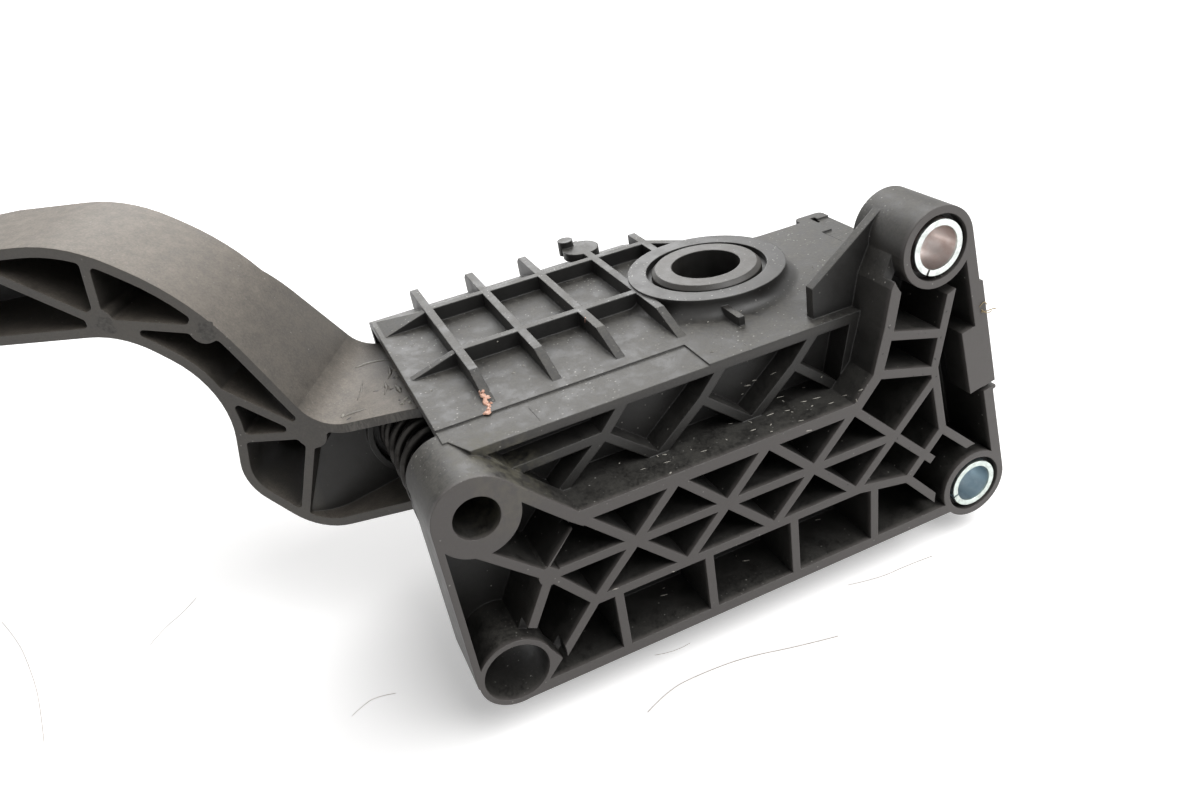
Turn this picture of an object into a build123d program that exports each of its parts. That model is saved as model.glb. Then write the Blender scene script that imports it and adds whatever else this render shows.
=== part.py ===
"""Suspended accelerator pedal: moulded housing, swinging arm, return springs and a sensor cover.

Millimetres. X runs from the mounting face towards the driver, Y across the car along the
pivot axis, Z up. The origin is the centre of the open lower boss on the mounting face.
"""

import os
from math import atan2, cos, degrees, hypot, radians, sin, tan

from build123d import *

os.makedirs("parts", exist_ok=True)

# Mounting bosses, each place is across (Y) and up (Z)
locator_y = 34.0
locator_z = 0.0
right_boss_y = 53.0
right_boss_z = 89.0
left_boss_y = -2.0
left_boss_z = 100.0
boss_r = 7.5
open_boss_r = 7.0
open_bore_r = 6.0
locator_bore_r = 4.0
locator_length = 15.5
locator_end_wall = 1.5
bush_outer_r = 5.1
bush_wall = 1.1
bush_slit = 0.5
bush_recess_r = 6.1
bush_recess_depth = 2.5
right_slit_angle = 208.0
left_slit_angle = 252.0
seat_gap = 0.02

# Ribbed mounting flange
flange_depth = 14.0
floor_wall = 2.0
rim_wall = 2.2
left_rim_wall = 1.2
rib_wall = 1.7
lower_edge_y = -6.9
left_edge_z = -7.2
lattice_mid_y = 17.5
lattice_pitch = 18.2
lattice_count = 4
lattice_first_z = 25.6
first_knot_z = 9.3
knot_r = 1.9
sunk_rib_depth = 4.0
short_rib_lead = 4.3
moat_width = 2.4
moat_depth = 3.2
ledge_y = 28.0
recess_depth = 7.0
recess_node_y = 35.6
recess_node_z = 25.4
recess_rib_pitch = 19.0
recess_rib_count = 3

# Housing body around the arm
plate_y = 42.0
plate_wall = 2.0
plate_left_z = -0.5
plate_step = 0.3
plate_step_x = 16.2
plate_step_z = 46.5
body_wall = 2.0
body_back_x = 71.0
body_waist_x = 57.0
body_narrow_x = 50.0
body_step_low_z = 48.0
body_waist_z = 68.0
body_step_high_z = 81.0
body_turn_r = 12.0
body_top_z = 101.0
strap_stand = 2.6
strap_z = 97.5
strap_length = 7.0
latch_x = 42.4
latch_length = 7.0
latch_z = 94.6
latch_step = 2.3
latch_depth = 0.4
latch_slit = 0.6
box_open_y = -8.0
box_inner_y = 11.0
box_low_z = 12.0
box_high_z = 88.0
shoulder_x = 57.8
shoulder_back_y = 40.6

# Ribs on the right hand plate
grid_height = 3.0
grid_wall = 1.7
grid_first_z = 10.4
grid_pitch = 12.4
grid_count = 4
grid_front_x = 19.0
grid_full_x = 27.3
grid_tail_x = 71.6
grid_long_x = 36.0
short_grid_z = 59.6
short_tail_x = 65.0
tail_round = 1.2
eyelet_r = 4.0
eyelet_x = 66.0
eyelet_hole_r = 0.9
eyelet_wall = 1.8
broken_pin_r = 1.7
broken_pin_height = 1.4

# Pivot
pivot_x = 37.0
pivot_z = 63.0
collar_r = 15.8
collar_height = 3.4
collar_foot_r = 2.4
collar_tab_z = 58.3
collar_tab_reach = 5.4
collar_tab_wall = 1.3
collar_tab_height = 1.8
bush_ring_wall = 1.0
trunnion_r = 11.0
trunnion_bore_r = 6.9
trunnion_stand = 0.5
hub_bevel = 0.8
hub_bore_depth = 26.0
groove_depth = 1.3
drum_r = 14.5
shoulder_ring_r = 10.0
lower_trunnion_r = 8.0
lower_trunnion_end_y = 5.0
run_gap = 0.05

# Gusset beside the right hand boss
gusset_x = 9.5
gusset_wall = 2.0
gusset_foot_z = 69.4
gusset_step = 5.9
gusset_angle = 40.0

# Lug on the upper edge of the flange
lug_y = 28.2
lug_length = 14.2
lug_width = 6.0
lug_inset = 5.3
edge_strip_y = 31.5
edge_strip_length = 25.0
edge_strip_width = 5.0
edge_strip_stand = 0.7
edge_slot = 1.2
edge_slot_depth = 3.0

# Pedal arm, seen on its tilted ribbed face: along the arm from the pivot end, and across
arm_tilt = 30.0
arm_face_x = 31.2
arm_depth = 22.6
arm_taper_start = 78.0
arm_end_depth = 13.0
arm_length = 186.0
arm_right_y = 38.7
arm_left_y = 17.3
arm_jog = 37.7
arm_low_width = 18.0
arm_back_x = 67.5
arm_flange = 1.9
arm_rib = 1.7
arm_web = 2.6
ejector_r = 2.7
arm_knee_r = 3.0
arm_pocket_r = 0.8
arm_right_bends = (20.0, 7.9, 44.8, 30.0)
arm_left_bends = (19.7, 12.3, 9.2, 17.7, 18.4)

# Foot pad at the lower end of the arm
pad_width = 46.0
pad_length = 84.0
pad_wall = 5.0
pad_corner_r = 12.0
pad_centre = 146.0
pad_edge_r = 1.8
pad_sink = 0.5

# Springs and their seats
spring_y = 27.8
spring_z = 1.0
outer_spring_r = 7.3
outer_wire_r = 0.85
outer_turns = 6.0
inner_spring_r = 4.6
inner_wire_r = 0.6
inner_turns = 8.0
arm_seat_x = 46.0
arm_seat_wall = 2.5
seat_ring_r = 9.4
seat_ring_wall = 1.2
seat_ring_height = 2.0
spigot_height = 3.0
spigot_gap = 0.4
back_pocket_low_z = -15.0
back_pocket_high_z = 42.0
back_rib_gap = 19.0

# Friction lever
lever_gap = 0.3
lever_wall = 2.5
lever_width = 14.0
lever_seat_r = 8.4
lever_pin_r = 2.0
lever_pin_z = 34.0
lever_pin_length = 1.3
lever_top_z = 45.0
shoe_wall = 3.0
shoe_angle = 222.0
shoe_half_angle = 24.0
cradle_height = 7.0
rest_stop_z = 8.0
rest_stop_height = 4.0
rest_stop_width = 12.0

# Sensor cover on the left hand side
cover_wall = 2.0
cover_gap = 0.3
cover_flange_wall = 2.0
bearing_wall = 2.0
bearing_length = 8.0
socket_x = 59.0
socket_width = 19.0
socket_thick = 13.0
socket_low_z = 70.0
socket_high_z = 91.0
socket_wall = 1.8
socket_corner_r = 1.5
post_r = 2.0
post_pin_r = 0.9
clip_width = 8.0
clip_wall = 1.5
clip_reach = 11.0
clip_window = 4.6
catch_stand = 1.2
low_clip_z = 30.0
high_clip_z = 66.0

# Lid, seal and screws
lid_wall = 1.6
lid_border = 3.4
lid_corner_r = 4.0
lid_edge_r = 0.6
seal_wall = 0.8
seal_width = 1.4
seal_inset = 1.6
seal_corner_r = 2.0
screw_head_r = 2.6
screw_head_height = 1.6
screw_shank_r = 1.25
screw_length = 8.0
screw_boss_r = 2.9
screw_inset = 2.2
screw_cross_wall = 0.7
screw_cross_depth = 0.8

# Sensor
board_wall = 1.6
board_low_z = 44.0
board_high_z = 68.0
board_front_x = 22.0
board_back_x = 66.0
carrier_r = 7.4
carrier_height = 3.5
carrier_spigot_r = 5.0
carrier_spigot_length = 6.0
ring_wall = 0.9
magnet_wall = 1.6
magnet_height = 2.4
magnet_angle = 120.0
chip_length = 4.0
chip_wall = 1.2
chip_pitch = 5.2
capacitor_width = 1.2
capacitor_length = 2.0
capacitor_pitch = 4.0
pin_count = 6
pin_pitch = 2.2
pin_width = 0.64
pin_reach = 9.0
pin_foot = 3.0

# Places worked out from the driving sizes
half_pitch = lattice_pitch / 2
rib_reach = half_pitch + 0.2
top_beam_y = lattice_mid_y + half_pitch
low_beam_y = lattice_mid_y - half_pitch
cross_zs = [lattice_first_z + k * lattice_pitch for k in range(lattice_count)]
node_zs = [z - half_pitch for z in cross_zs]
pocket_depth = flange_depth - floor_wall
roof_y = plate_y - plate_wall
grid_top_y = plate_y + grid_height
collar_top_y = plate_y + collar_height
ring_inner_r = trunnion_r + run_gap
collar_bore_r = ring_inner_r + bush_ring_wall
pivot = (pivot_x, pivot_z)
catch_height = clip_window - 2 * cover_gap
catch_low_y = box_open_y + clip_reach - clip_window - clip_wall
catch_zs = (low_clip_z, high_clip_z)
board_top_y = lower_trunnion_end_y - carrier_height - 0.9
socket_y = board_top_y + pin_width / 2
lever_front_x = locator_length + lever_gap
lever_back_x = lever_front_x + lever_wall
bearing_top_y = box_inner_y + body_wall
bearing_low_y = bearing_top_y - bearing_length
pad_start = pad_centre - pad_length / 2
pin_x = lever_front_x + lever_wall / 2
far = 400.0


def front_plane(x):
    """Sketch plane facing the driver: its axes are across (Y) and up (Z)."""
    return Plane.YZ.offset(x)


def side_plane(y):
    """Sketch plane across the pivot axis: it extrudes towards the left (minus Y)."""
    return Plane.XZ.offset(-y)


def edge_place(place_y):
    """The point of the flange's upper edge line that lies at a place across."""
    share = (right_edge_top[0] - place_y) / (right_edge_top[0] - right_edge_low[0])
    return (place_y, right_edge_top[1] + share * (right_edge_low[1] - right_edge_top[1]))


def toward(start, end, reach):
    """The point that lies a distance from start on the way to end."""
    run = hypot(end[0] - start[0], end[1] - start[1])
    return tuple(a + (b - a) * reach / run for a, b in zip(start, end))


# Mounting flange outline, each corner is across and up
locator = (locator_y, locator_z)
right_boss = (right_boss_y, right_boss_z)
left_boss = (left_boss_y, left_boss_z)
open_boss = (0.0, 0.0)
tangent_run = boss_r * sin(radians(45))
boss_way = toward(right_boss, left_boss, 1)
edge_way = (boss_way[0] - right_boss_y, boss_way[1] - right_boss_z)
right_edge_top = (right_boss_y + boss_r * edge_way[1], right_boss_z - boss_r * edge_way[0])
right_edge_low = (left_boss_y + boss_r * edge_way[1], left_boss_z - boss_r * edge_way[0])
column_z = right_boss_z - boss_r
column_bend = (ledge_y + 4.5, column_z - 6.3)
column_knee = (ledge_y + 13.0, column_z - 3.9)
column_top = (right_boss_y - 4.9, column_z - 2.4)
ledge_start = (ledge_y, node_zs[0])
ledge_end = (ledge_y, node_zs[-1])
slope_start = (locator_y + tangent_run, locator_z + tangent_run)
flange_outline = [
    (lower_edge_y, 0),
    (0, left_edge_z),
    (locator_y, locator_z - boss_r),
    slope_start,
    ledge_start,
    ledge_end,
    column_bend,
    column_knee,
    column_top,
    (right_boss_y, column_z),
    right_edge_top,
    right_edge_low,
    (lower_edge_y, left_boss_z - boss_r / 2),
]

# Ribs inside the flange, each a line of corners: first the lattice with its middle rib
rib_lines = []
for cross_z in cross_zs:
    for way in (1, -1):
        start = (lattice_mid_y - way * rib_reach, cross_z - rib_reach)
        end = (lattice_mid_y + way * rib_reach, cross_z + rib_reach)
        if cross_z == cross_zs[-1]:
            end = (lattice_mid_y + way * rib_reach, cross_z + half_pitch)
        rib_lines.append([start, end])
first_knot = (lattice_mid_y, first_knot_z)
rib_lines.append([first_knot, (lattice_mid_y, cross_zs[-1] + 0.1)])
rib_lines.append([(top_beam_y, node_zs[0] - 0.5), (top_beam_y, node_zs[-1] + 0.5)])
for node_z in node_zs:
    foot_z = node_z + short_rib_lead
    rib_lines.append([(low_beam_y, foot_z), (lower_edge_y + rim_wall / 2, foot_z)])
# Ribs between the lower two bosses
rib_lines.append([(locator_y - 5.0, locator_z - 3.0), first_knot, (low_beam_y, node_zs[0] + 0.1)])
rib_lines.append([first_knot, toward(open_boss, first_knot, open_bore_r)])
rib_lines.append([(low_beam_y + 0.1, node_zs[0]), (-4.3, open_boss_r - 1.5)])
sunk_rib = [(first_knot[0] + 0.4, first_knot[1] - 0.4), (top_beam_y - 0.4, node_zs[0] + 0.4)]
rib_lines.append(sunk_rib)
# Beam that runs on to the left hand boss
beam_bend = (low_beam_y - 2.2, left_boss_z - 16.7)
rib_lines.append([(low_beam_y, node_zs[0] - 0.4), (low_beam_y, node_zs[-1] + 1.0), beam_bend, (-5.2, left_boss_z - 6.4)])
# Rails of the column between the upper two bosses, with its rungs
rail_knee = (29.0, right_boss_z - 0.1)
rail_foot = (14.7, right_boss_z + 2.4)
rib_lines.append([(46.8, right_boss_z + 3.9), (44.1, right_boss_z + 3.3), rail_knee])
rib_lines.append([(rail_knee[0] + 0.1, rail_knee[1]), rail_foot, (4.8, left_boss_z + 1.7)])
rib_lines.append([rail_foot, (beam_bend[0] + 0.1, beam_bend[1] + 0.1)])
rib_lines.append([(39.3, column_z - 3.0), (35.9, right_boss_z + 1.4)])
rib_lines.append([(32.1, column_z - 5.0), (28.7, right_boss_z - 0.6)])

# Ribs of the recessed wall between the ledge and the right hand plate
recess_lines = []
for k in range(recess_rib_count):
    node = (recess_node_y, recess_node_z + k * recess_rib_pitch)
    foot_low = (ledge_y - 0.5, node[1] - recess_rib_pitch / 2)
    foot_high = (ledge_y - 0.5, node[1] + recess_rib_pitch / 2)
    recess_lines.append([foot_low, node, foot_high])
    recess_lines.append([node, (roof_y + 0.5, node[1] + 4.4)])
recess_lines.append([(recess_node_y, recess_node_z), (recess_node_y - 0.6, 6.0)])


with BuildSketch() as flange_shape:
    with BuildLine():
        Polyline(*flange_outline, close=True)
    make_face()
    with Locations(locator, right_boss, left_boss):
        Circle(boss_r)

with BuildSketch() as flange_ribs:
    for line in rib_lines:
        with BuildLine():
            Polyline(*line)
        trace(line_width=rib_wall)
    with Locations(locator, right_boss, left_boss):
        Circle(boss_r)
    with Locations(open_boss):
        Circle(open_boss_r)
    with Locations(first_knot):
        Circle(knot_r)

# Shallow ring round each bushed boss, where the rib ends stop short of it
with BuildSketch() as moat_area:
    add(flange_shape.sketch)
    offset(amount=-rim_wall)
    with Locations((right_boss_y - boss_r / 2, column_z)):
        Rectangle(boss_r, boss_r)

with BuildSketch() as boss_moats:
    with Locations(right_boss, left_boss):
        Circle(boss_r + moat_width)
    with Locations(open_boss):
        Circle(open_boss_r + moat_width)
    add(moat_area.sketch, mode=Mode.INTERSECT)
    with Locations(right_boss, left_boss):
        Circle(boss_r, mode=Mode.SUBTRACT)
    with Locations(open_boss):
        Circle(open_boss_r, mode=Mode.SUBTRACT)

with BuildSketch() as recess_ribs:
    for line in recess_lines:
        with BuildLine():
            Polyline(*line)
        trace(line_width=rib_wall)
    with Locations(locator):
        Circle(boss_r)


# Outline of the housing body, seen along the pivot axis
body_front_x = flange_depth - body_wall
with BuildSketch() as body_shape:
    with BuildLine():
        FilletPolyline(
            (body_front_x, body_top_z),
            (body_front_x, plate_left_z),
            (body_back_x, plate_left_z),
            (body_back_x, body_step_low_z),
            (body_waist_x, body_waist_z),
            (body_narrow_x, body_step_high_z),
            (body_narrow_x, body_top_z),
            radius=(0, 0, body_turn_r, body_turn_r, body_turn_r),
        )
        Line((body_narrow_x, body_top_z), (body_front_x, body_top_z))
    make_face()

# Room for the arm, the springs and the sensor cover inside the housing
with BuildPart() as chamber:
    with BuildSketch(side_plane(roof_y)):
        add(body_shape.sketch)
        offset(amount=-body_wall, kind=Kind.INTERSECTION)
    extrude(amount=roof_y - box_inner_y - body_wall)
    with BuildSketch(side_plane(box_inner_y + body_wall)):
        add(body_shape.sketch)
        offset(amount=-body_wall, kind=Kind.INTERSECTION)
        with Locations((flange_depth, box_low_z + body_wall)):
            Rectangle(
                body_back_x - body_wall - flange_depth,
                box_high_z - box_low_z - 2 * body_wall,
                align=(Align.MIN, Align.MIN),
                mode=Mode.INTERSECT,
            )
    extrude(amount=2 * body_wall)
    with BuildSketch(side_plane(box_inner_y - body_wall)):
        with Locations((flange_depth, box_low_z + body_wall)):
            Rectangle(
                body_back_x - body_wall - flange_depth,
                box_high_z - box_low_z - 2 * body_wall,
                align=(Align.MIN, Align.MIN),
            )
    extrude(amount=box_inner_y - body_wall - box_open_y)
    # Lower end, where the arm comes out
    with BuildSketch(Plane.XY.offset(plate_left_z + body_wall)):
        with Locations((flange_depth, box_inner_y + body_wall)):
            Rectangle(
                body_back_x - body_wall - flange_depth,
                roof_y - box_inner_y - body_wall,
                align=(Align.MIN, Align.MIN),
            )
    extrude(amount=-2 * body_wall)

# Housing
with BuildPart() as housing:
    # Flange with its four bosses
    with BuildSketch(front_plane(0)):
        add(flange_shape.sketch)
        with Locations(open_boss):
            Circle(open_boss_r)
    extrude(amount=flange_depth)
    # Wall between the ledge and the right hand plate
    with BuildSketch(front_plane(recess_depth)):
        with BuildLine():
            Polyline(
                (ledge_y - rim_wall, ledge_start[1]),
                slope_start,
                (plate_y, slope_start[1] - 2.5),
                (plate_y, column_z),
                (ledge_y - rim_wall, column_z),
                close=True,
            )
        make_face()
    extrude(amount=flange_depth - recess_depth)
    # Body around the arm, then the box for the sensor cover
    with BuildSketch(side_plane(plate_y)):
        add(body_shape.sketch)
        with BuildLine():
            Polyline(
                (recess_depth, slope_start[1] - 2.5),
                (flange_depth, plate_left_z),
                (flange_depth, body_top_z),
                (gusset_x + gusset_wall, body_top_z),
                (recess_depth, column_z),
                close=True,
            )
        make_face()
        with Locations((body_narrow_x, strap_z)):
            RectangleRounded(2 * strap_stand, strap_length, strap_stand / 2)
    extrude(amount=plate_wall)
    with BuildSketch(side_plane(roof_y)):
        add(body_shape.sketch)
    extrude(amount=roof_y - box_inner_y)
    with BuildSketch(side_plane(box_inner_y)):
        with Locations((flange_depth - body_wall, box_low_z)):
            Rectangle(
                body_back_x - flange_depth + body_wall,
                box_high_z - box_low_z,
                align=(Align.MIN, Align.MIN),
            )
    extrude(amount=box_inner_y - box_open_y)
    # Sloping shoulder behind the grid
    with BuildSketch(Plane.XY.offset(plate_left_z)):
        with BuildLine():
            Polyline(
                (shoulder_x, roof_y),
                (shoulder_x, grid_top_y),
                (body_back_x, shoulder_back_y),
                (body_back_x, roof_y),
                close=True,
            )
        make_face()
    extrude(amount=short_grid_z - plate_left_z)
    shoulder_slope = (grid_top_y - shoulder_back_y) / (body_back_x - shoulder_x)
    with BuildSketch(Plane.XY.offset(plate_left_z - 1)):
        with BuildLine():
            Polyline(
                (shoulder_x, grid_top_y),
                (body_back_x + 20, shoulder_back_y - 20 * shoulder_slope),
                (body_back_x + 20, grid_top_y + 20),
                (shoulder_x, grid_top_y + 20),
                close=True,
            )
        make_face()
    extrude(amount=body_top_z, mode=Mode.SUBTRACT)
    with BuildSketch(front_plane(shoulder_x - 1)):
        with BuildLine():
            Polyline(
                (plate_y, plate_left_z - 1),
                (plate_y, plate_left_z + 1),
                (grid_top_y, grid_first_z),
                (grid_top_y + 9, grid_first_z),
                (grid_top_y + 9, plate_left_z - 1),
                close=True,
            )
        make_face()
    extrude(amount=body_back_x, mode=Mode.SUBTRACT)
    # Ribs across the plate, with tails that stand over the shoulder
    for k in range(grid_count):
        rib_z = grid_first_z + k * grid_pitch
        with BuildSketch(Plane.XY.offset(rib_z - grid_wall / 2)):
            with BuildLine():
                Polyline(
                    (grid_front_x, plate_y - 0.5),
                    (grid_front_x, plate_y),
                    (grid_full_x, grid_top_y),
                    (grid_tail_x - tail_round, grid_top_y),
                    (grid_tail_x, grid_top_y - tail_round),
                    (grid_tail_x, shoulder_back_y),
                    (body_back_x - tail_round, roof_y + 0.3),
                    (shoulder_x, roof_y + 0.3),
                    close=True,
                )
            make_face()
        extrude(amount=grid_wall)
    with BuildSketch(Plane.XY.offset(short_grid_z - grid_wall / 2)):
        with Locations((pivot_x + trunnion_r, plate_y - 0.5)):
            Rectangle(
                short_tail_x - pivot_x - trunnion_r,
                grid_height + 0.5,
                align=(Align.MIN, Align.MIN),
            )
    extrude(amount=grid_wall)
    # Long ribs from the arm's end up to the collar
    for rib_x in (grid_long_x, shoulder_x):
        with BuildSketch(front_plane(rib_x)):
            with BuildLine():
                Polyline(
                    (plate_y - 0.5, plate_left_z + 1),
                    (plate_y, plate_left_z + 1),
                    (grid_top_y, grid_first_z),
                    (grid_top_y, short_grid_z),
                    (plate_y - 0.5, short_grid_z),
                    close=True,
                )
            make_face()
        extrude(amount=grid_wall)
    # Bar from the last rib round to the collar
    with BuildSketch(side_plane(grid_top_y)):
        with BuildLine():
            Line((shoulder_x + 1, short_grid_z), (pivot_x + collar_r * 0.9, pivot_z + 4.5))
        trace(line_width=grid_wall)
    extrude(amount=grid_height)
    # Round eyelet on the tail of the last full rib
    eyelet_z = grid_first_z + (grid_count - 1) * grid_pitch
    with BuildSketch(side_plane(grid_top_y)):
        with Locations((eyelet_x, eyelet_z)):
            Circle(eyelet_r)
    extrude(amount=eyelet_wall)
    # Stub of the pin broken off beside it
    with BuildSketch(side_plane(grid_top_y + broken_pin_height)):
        with Locations((eyelet_x + eyelet_r - 0.8, eyelet_z - 2.2)):
            Circle(broken_pin_r)
    extrude(amount=broken_pin_height + eyelet_wall)
    # Collar around the pivot
    with BuildSketch(side_plane(collar_top_y)):
        with Locations(pivot):
            Circle(collar_r)
    extrude(amount=collar_top_y - roof_y)
    with BuildSketch(Plane(origin=(pivot_x, plate_y, pivot_z), x_dir=(-1, 0, 0), z_dir=(0, 0, -1))):
        with BuildLine():
            Polyline((collar_r, collar_foot_r), (collar_r - 1, 0), (collar_r + collar_foot_r, 0))
            RadiusArc((collar_r + collar_foot_r, 0), (collar_r, collar_foot_r), collar_foot_r)
        make_face()
    revolve(axis=Axis((pivot_x, plate_y, pivot_z), (0, 1, 0)))
    with BuildSketch(side_plane(plate_y + collar_tab_height)):
        with Locations((pivot_x - collar_r - collar_tab_reach, collar_tab_z)):
            Rectangle(2 * collar_tab_reach, collar_tab_wall, align=(Align.MIN, Align.CENTER))
    extrude(amount=collar_tab_height + plate_wall / 2)
    # Gusset beside the right hand boss
    gusset_touch = (
        right_boss_y + boss_r * cos(radians(gusset_angle)),
        right_boss_z - boss_r * sin(radians(gusset_angle)),
    )
    with BuildSketch(front_plane(gusset_x)):
        with BuildLine():
            Polyline(
                (plate_y - 1, gusset_foot_z),
                (plate_y + gusset_step, gusset_foot_z),
                gusset_touch,
                right_boss,
                (plate_y - 1, right_boss_z),
                close=True,
            )
        make_face()
    extrude(amount=gusset_wall)
    # Chamber, then the pockets between the ribs
    add(chamber.part, mode=Mode.SUBTRACT)
    with BuildSketch(front_plane(0)):
        add(flange_shape.sketch)
        offset(amount=-rim_wall)
        with BuildLine():
            Polyline(
                (0, left_edge_z + left_rim_wall),
                (locator_y, locator_z - boss_r + left_rim_wall),
                (locator_y, 0),
                (0, 0),
                close=True,
            )
        make_face()
        add(flange_ribs.sketch, mode=Mode.SUBTRACT)
    extrude(amount=pocket_depth, mode=Mode.SUBTRACT)
    # Rings round the bosses, and the sunk rib beside the locating boss
    with BuildSketch(front_plane(0)):
        add(boss_moats.sketch)
    extrude(amount=moat_depth, mode=Mode.SUBTRACT)
    with BuildSketch(front_plane(0)):
        with BuildLine():
            Line(toward(first_knot, sunk_rib[1], knot_r - 0.2), toward(sunk_rib[1], first_knot, rim_wall / 2))
        trace(line_width=rib_wall + 0.2)
    extrude(amount=sunk_rib_depth, mode=Mode.SUBTRACT)
    # Web left standing beside the open boss
    with BuildSketch(front_plane(0)):
        with BuildLine():
            Polyline((3.5, 5.9), (-1.1, 8.4), (-4.3, 5.5), (0, 4), close=True)
        make_face()
    extrude(amount=moat_depth + 1)
    with BuildSketch(front_plane(recess_depth)):
        with BuildLine():
            Polyline(
                (ledge_y, ledge_start[1] - 1.5),
                (roof_y, slope_start[1]),
                (roof_y, column_knee[1] - rim_wall),
                (ledge_y, ledge_end[1] + 1.5),
                close=True,
            )
        make_face()
        add(recess_ribs.sketch, mode=Mode.SUBTRACT)
    extrude(amount=pocket_depth - recess_depth, mode=Mode.SUBTRACT)
    # Locating boss runs further back than the flange
    with BuildSketch(front_plane(0)):
        with Locations(locator):
            Circle(boss_r)
    extrude(amount=locator_length)
    # Bores
    with BuildSketch(front_plane(0)):
        with Locations(locator):
            Circle(locator_bore_r)
    extrude(amount=locator_length - locator_end_wall, mode=Mode.SUBTRACT)
    with BuildSketch(front_plane(0)):
        with Locations(open_boss):
            Circle(open_bore_r)
    extrude(amount=2 * flange_depth, mode=Mode.SUBTRACT)
    with BuildSketch(front_plane(0)):
        with Locations(right_boss, left_boss):
            Circle(bush_outer_r + seat_gap)
    extrude(amount=2 * flange_depth, mode=Mode.SUBTRACT)
    with BuildSketch(front_plane(0)):
        with Locations(right_boss, left_boss):
            Circle(bush_recess_r)
    extrude(amount=bush_recess_depth, mode=Mode.SUBTRACT)
    with BuildSketch(side_plane(collar_top_y)):
        with Locations(pivot):
            Circle(collar_bore_r + seat_gap)
    extrude(amount=collar_top_y - roof_y + 1, mode=Mode.SUBTRACT)
    with BuildSketch(side_plane(grid_top_y)):
        with Locations((grid_tail_x + 0.6, eyelet_z)):
            Circle(eyelet_hole_r)
    extrude(amount=eyelet_wall, mode=Mode.SUBTRACT)
    # Cut-out in the box for the connector socket
    with BuildSketch(side_plane(socket_y + socket_thick / 2 + cover_gap)):
        with Locations((socket_x, box_high_z)):
            Rectangle(socket_width + 2 * cover_gap, 3 * body_wall)
    extrude(amount=box_inner_y - box_open_y + socket_thick, mode=Mode.SUBTRACT)
    # Lug and strip on the upper edge, with the slot at their lower end
    lug_turn = degrees(atan2(edge_way[1], edge_way[0]))
    with BuildSketch(front_plane(0)):
        with Locations(Location(edge_place(lug_y), lug_turn)):
            Rectangle(lug_length, lug_inset, align=(Align.CENTER, Align.MIN))
    extrude(amount=lug_width)
    with BuildSketch(front_plane(0)):
        with Locations(Location(edge_place(edge_strip_y), lug_turn)):
            RectangleRounded(edge_strip_length, 2 * edge_strip_stand, edge_strip_stand / 2)
    extrude(amount=edge_strip_width)
    with BuildSketch(front_plane(0)):
        with Locations(Location(edge_place(lug_y - (lug_length + edge_slot) / 2), lug_turn)):
            Rectangle(edge_slot, 3 * rim_wall)
    extrude(amount=edge_slot_depth, mode=Mode.SUBTRACT)
    # Lower strip along the plate's front edge, and the latch on its right hand end
    with BuildSketch(side_plane(plate_y + plate_step)):
        with Locations((0, plate_left_z - 1)):
            Rectangle(plate_step_x, plate_step_z - plate_left_z + 1, align=(Align.MIN, Align.MIN))
    extrude(amount=2 * plate_step, mode=Mode.SUBTRACT)
    with BuildSketch(side_plane(plate_y)):
        with BuildLine():
            Polyline(
                (latch_x - latch_length, latch_z),
                (latch_x, latch_z),
                (latch_x, latch_z + latch_step),
                (latch_x + latch_length, latch_z + latch_step),
                (latch_x + latch_length, body_top_z),
                (latch_x - latch_length, body_top_z),
                close=True,
            )
        make_face()
    extrude(amount=latch_depth, mode=Mode.SUBTRACT)
    with BuildSketch(side_plane(plate_y)):
        with Locations((latch_x - latch_length / 2, latch_z)):
            Rectangle(latch_length, latch_slit)
        with Locations((latch_x + latch_length, strap_z)):
            Rectangle(4 * latch_slit, 2 * latch_slit)
    extrude(amount=plate_wall / 2, mode=Mode.SUBTRACT)
    # Cradles that carry the pins of the friction lever
    cradle_y = lever_width / 2 + 2 * run_gap + lever_pin_length / 2
    with BuildSketch(front_plane(pocket_depth + floor_wall / 2)):
        with Locations((spring_y - cradle_y, lever_pin_z), (spring_y + cradle_y, lever_pin_z)):
            Rectangle(lever_pin_length, cradle_height)
    extrude(amount=pin_x - pocket_depth - floor_wall / 2)
    with BuildSketch(side_plane(plate_y - plate_wall)):
        with Locations((pin_x, lever_pin_z)):
            Circle(lever_pin_r + run_gap)
    extrude(amount=roof_y - box_inner_y, mode=Mode.SUBTRACT)
    # Catches for the clips of the cover
    for catch_z in catch_zs:
        with BuildSketch(Plane.XY.offset(catch_z - catch_height / 2)):
            with BuildLine():
                Polyline(
                    (body_back_x - 0.5, catch_low_y),
                    (body_back_x, catch_low_y),
                    (body_back_x + catch_stand, catch_low_y + catch_stand),
                    (body_back_x + catch_stand, catch_low_y + catch_height),
                    (body_back_x - 0.5, catch_low_y + catch_height),
                    close=True,
                )
            make_face()
        extrude(amount=catch_height)
    # Stop that the released arm rests on
    with BuildSketch(Plane.XY.offset(rest_stop_z)):
        with Locations((body_back_x - body_wall + 0.5, spring_y)):
            Rectangle(
                body_back_x - body_wall + 0.5 - arm_back_x - run_gap,
                rest_stop_width,
                align=(Align.MAX, Align.CENTER),
            )
    extrude(amount=rest_stop_height)
housing.part.label = "pedal_housing"
export_step(housing.part, "parts/pedal_housing.step")


def fixing_bush(name, place, slit_angle):
    """Rolled steel sleeve with a slit, pressed into a boss."""
    with BuildPart() as bush:
        with BuildSketch(front_plane(0)):
            with Locations(place):
                Circle(bush_outer_r)
                Circle(bush_outer_r - bush_wall, mode=Mode.SUBTRACT)
            with Locations(Location(place, slit_angle)):
                Rectangle(2 * bush_outer_r, bush_slit, align=(Align.MIN, Align.CENTER), mode=Mode.SUBTRACT)
        extrude(amount=flange_depth)
    bush.part.label = name
    export_step(bush.part, f"parts/{name}.step")


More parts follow.
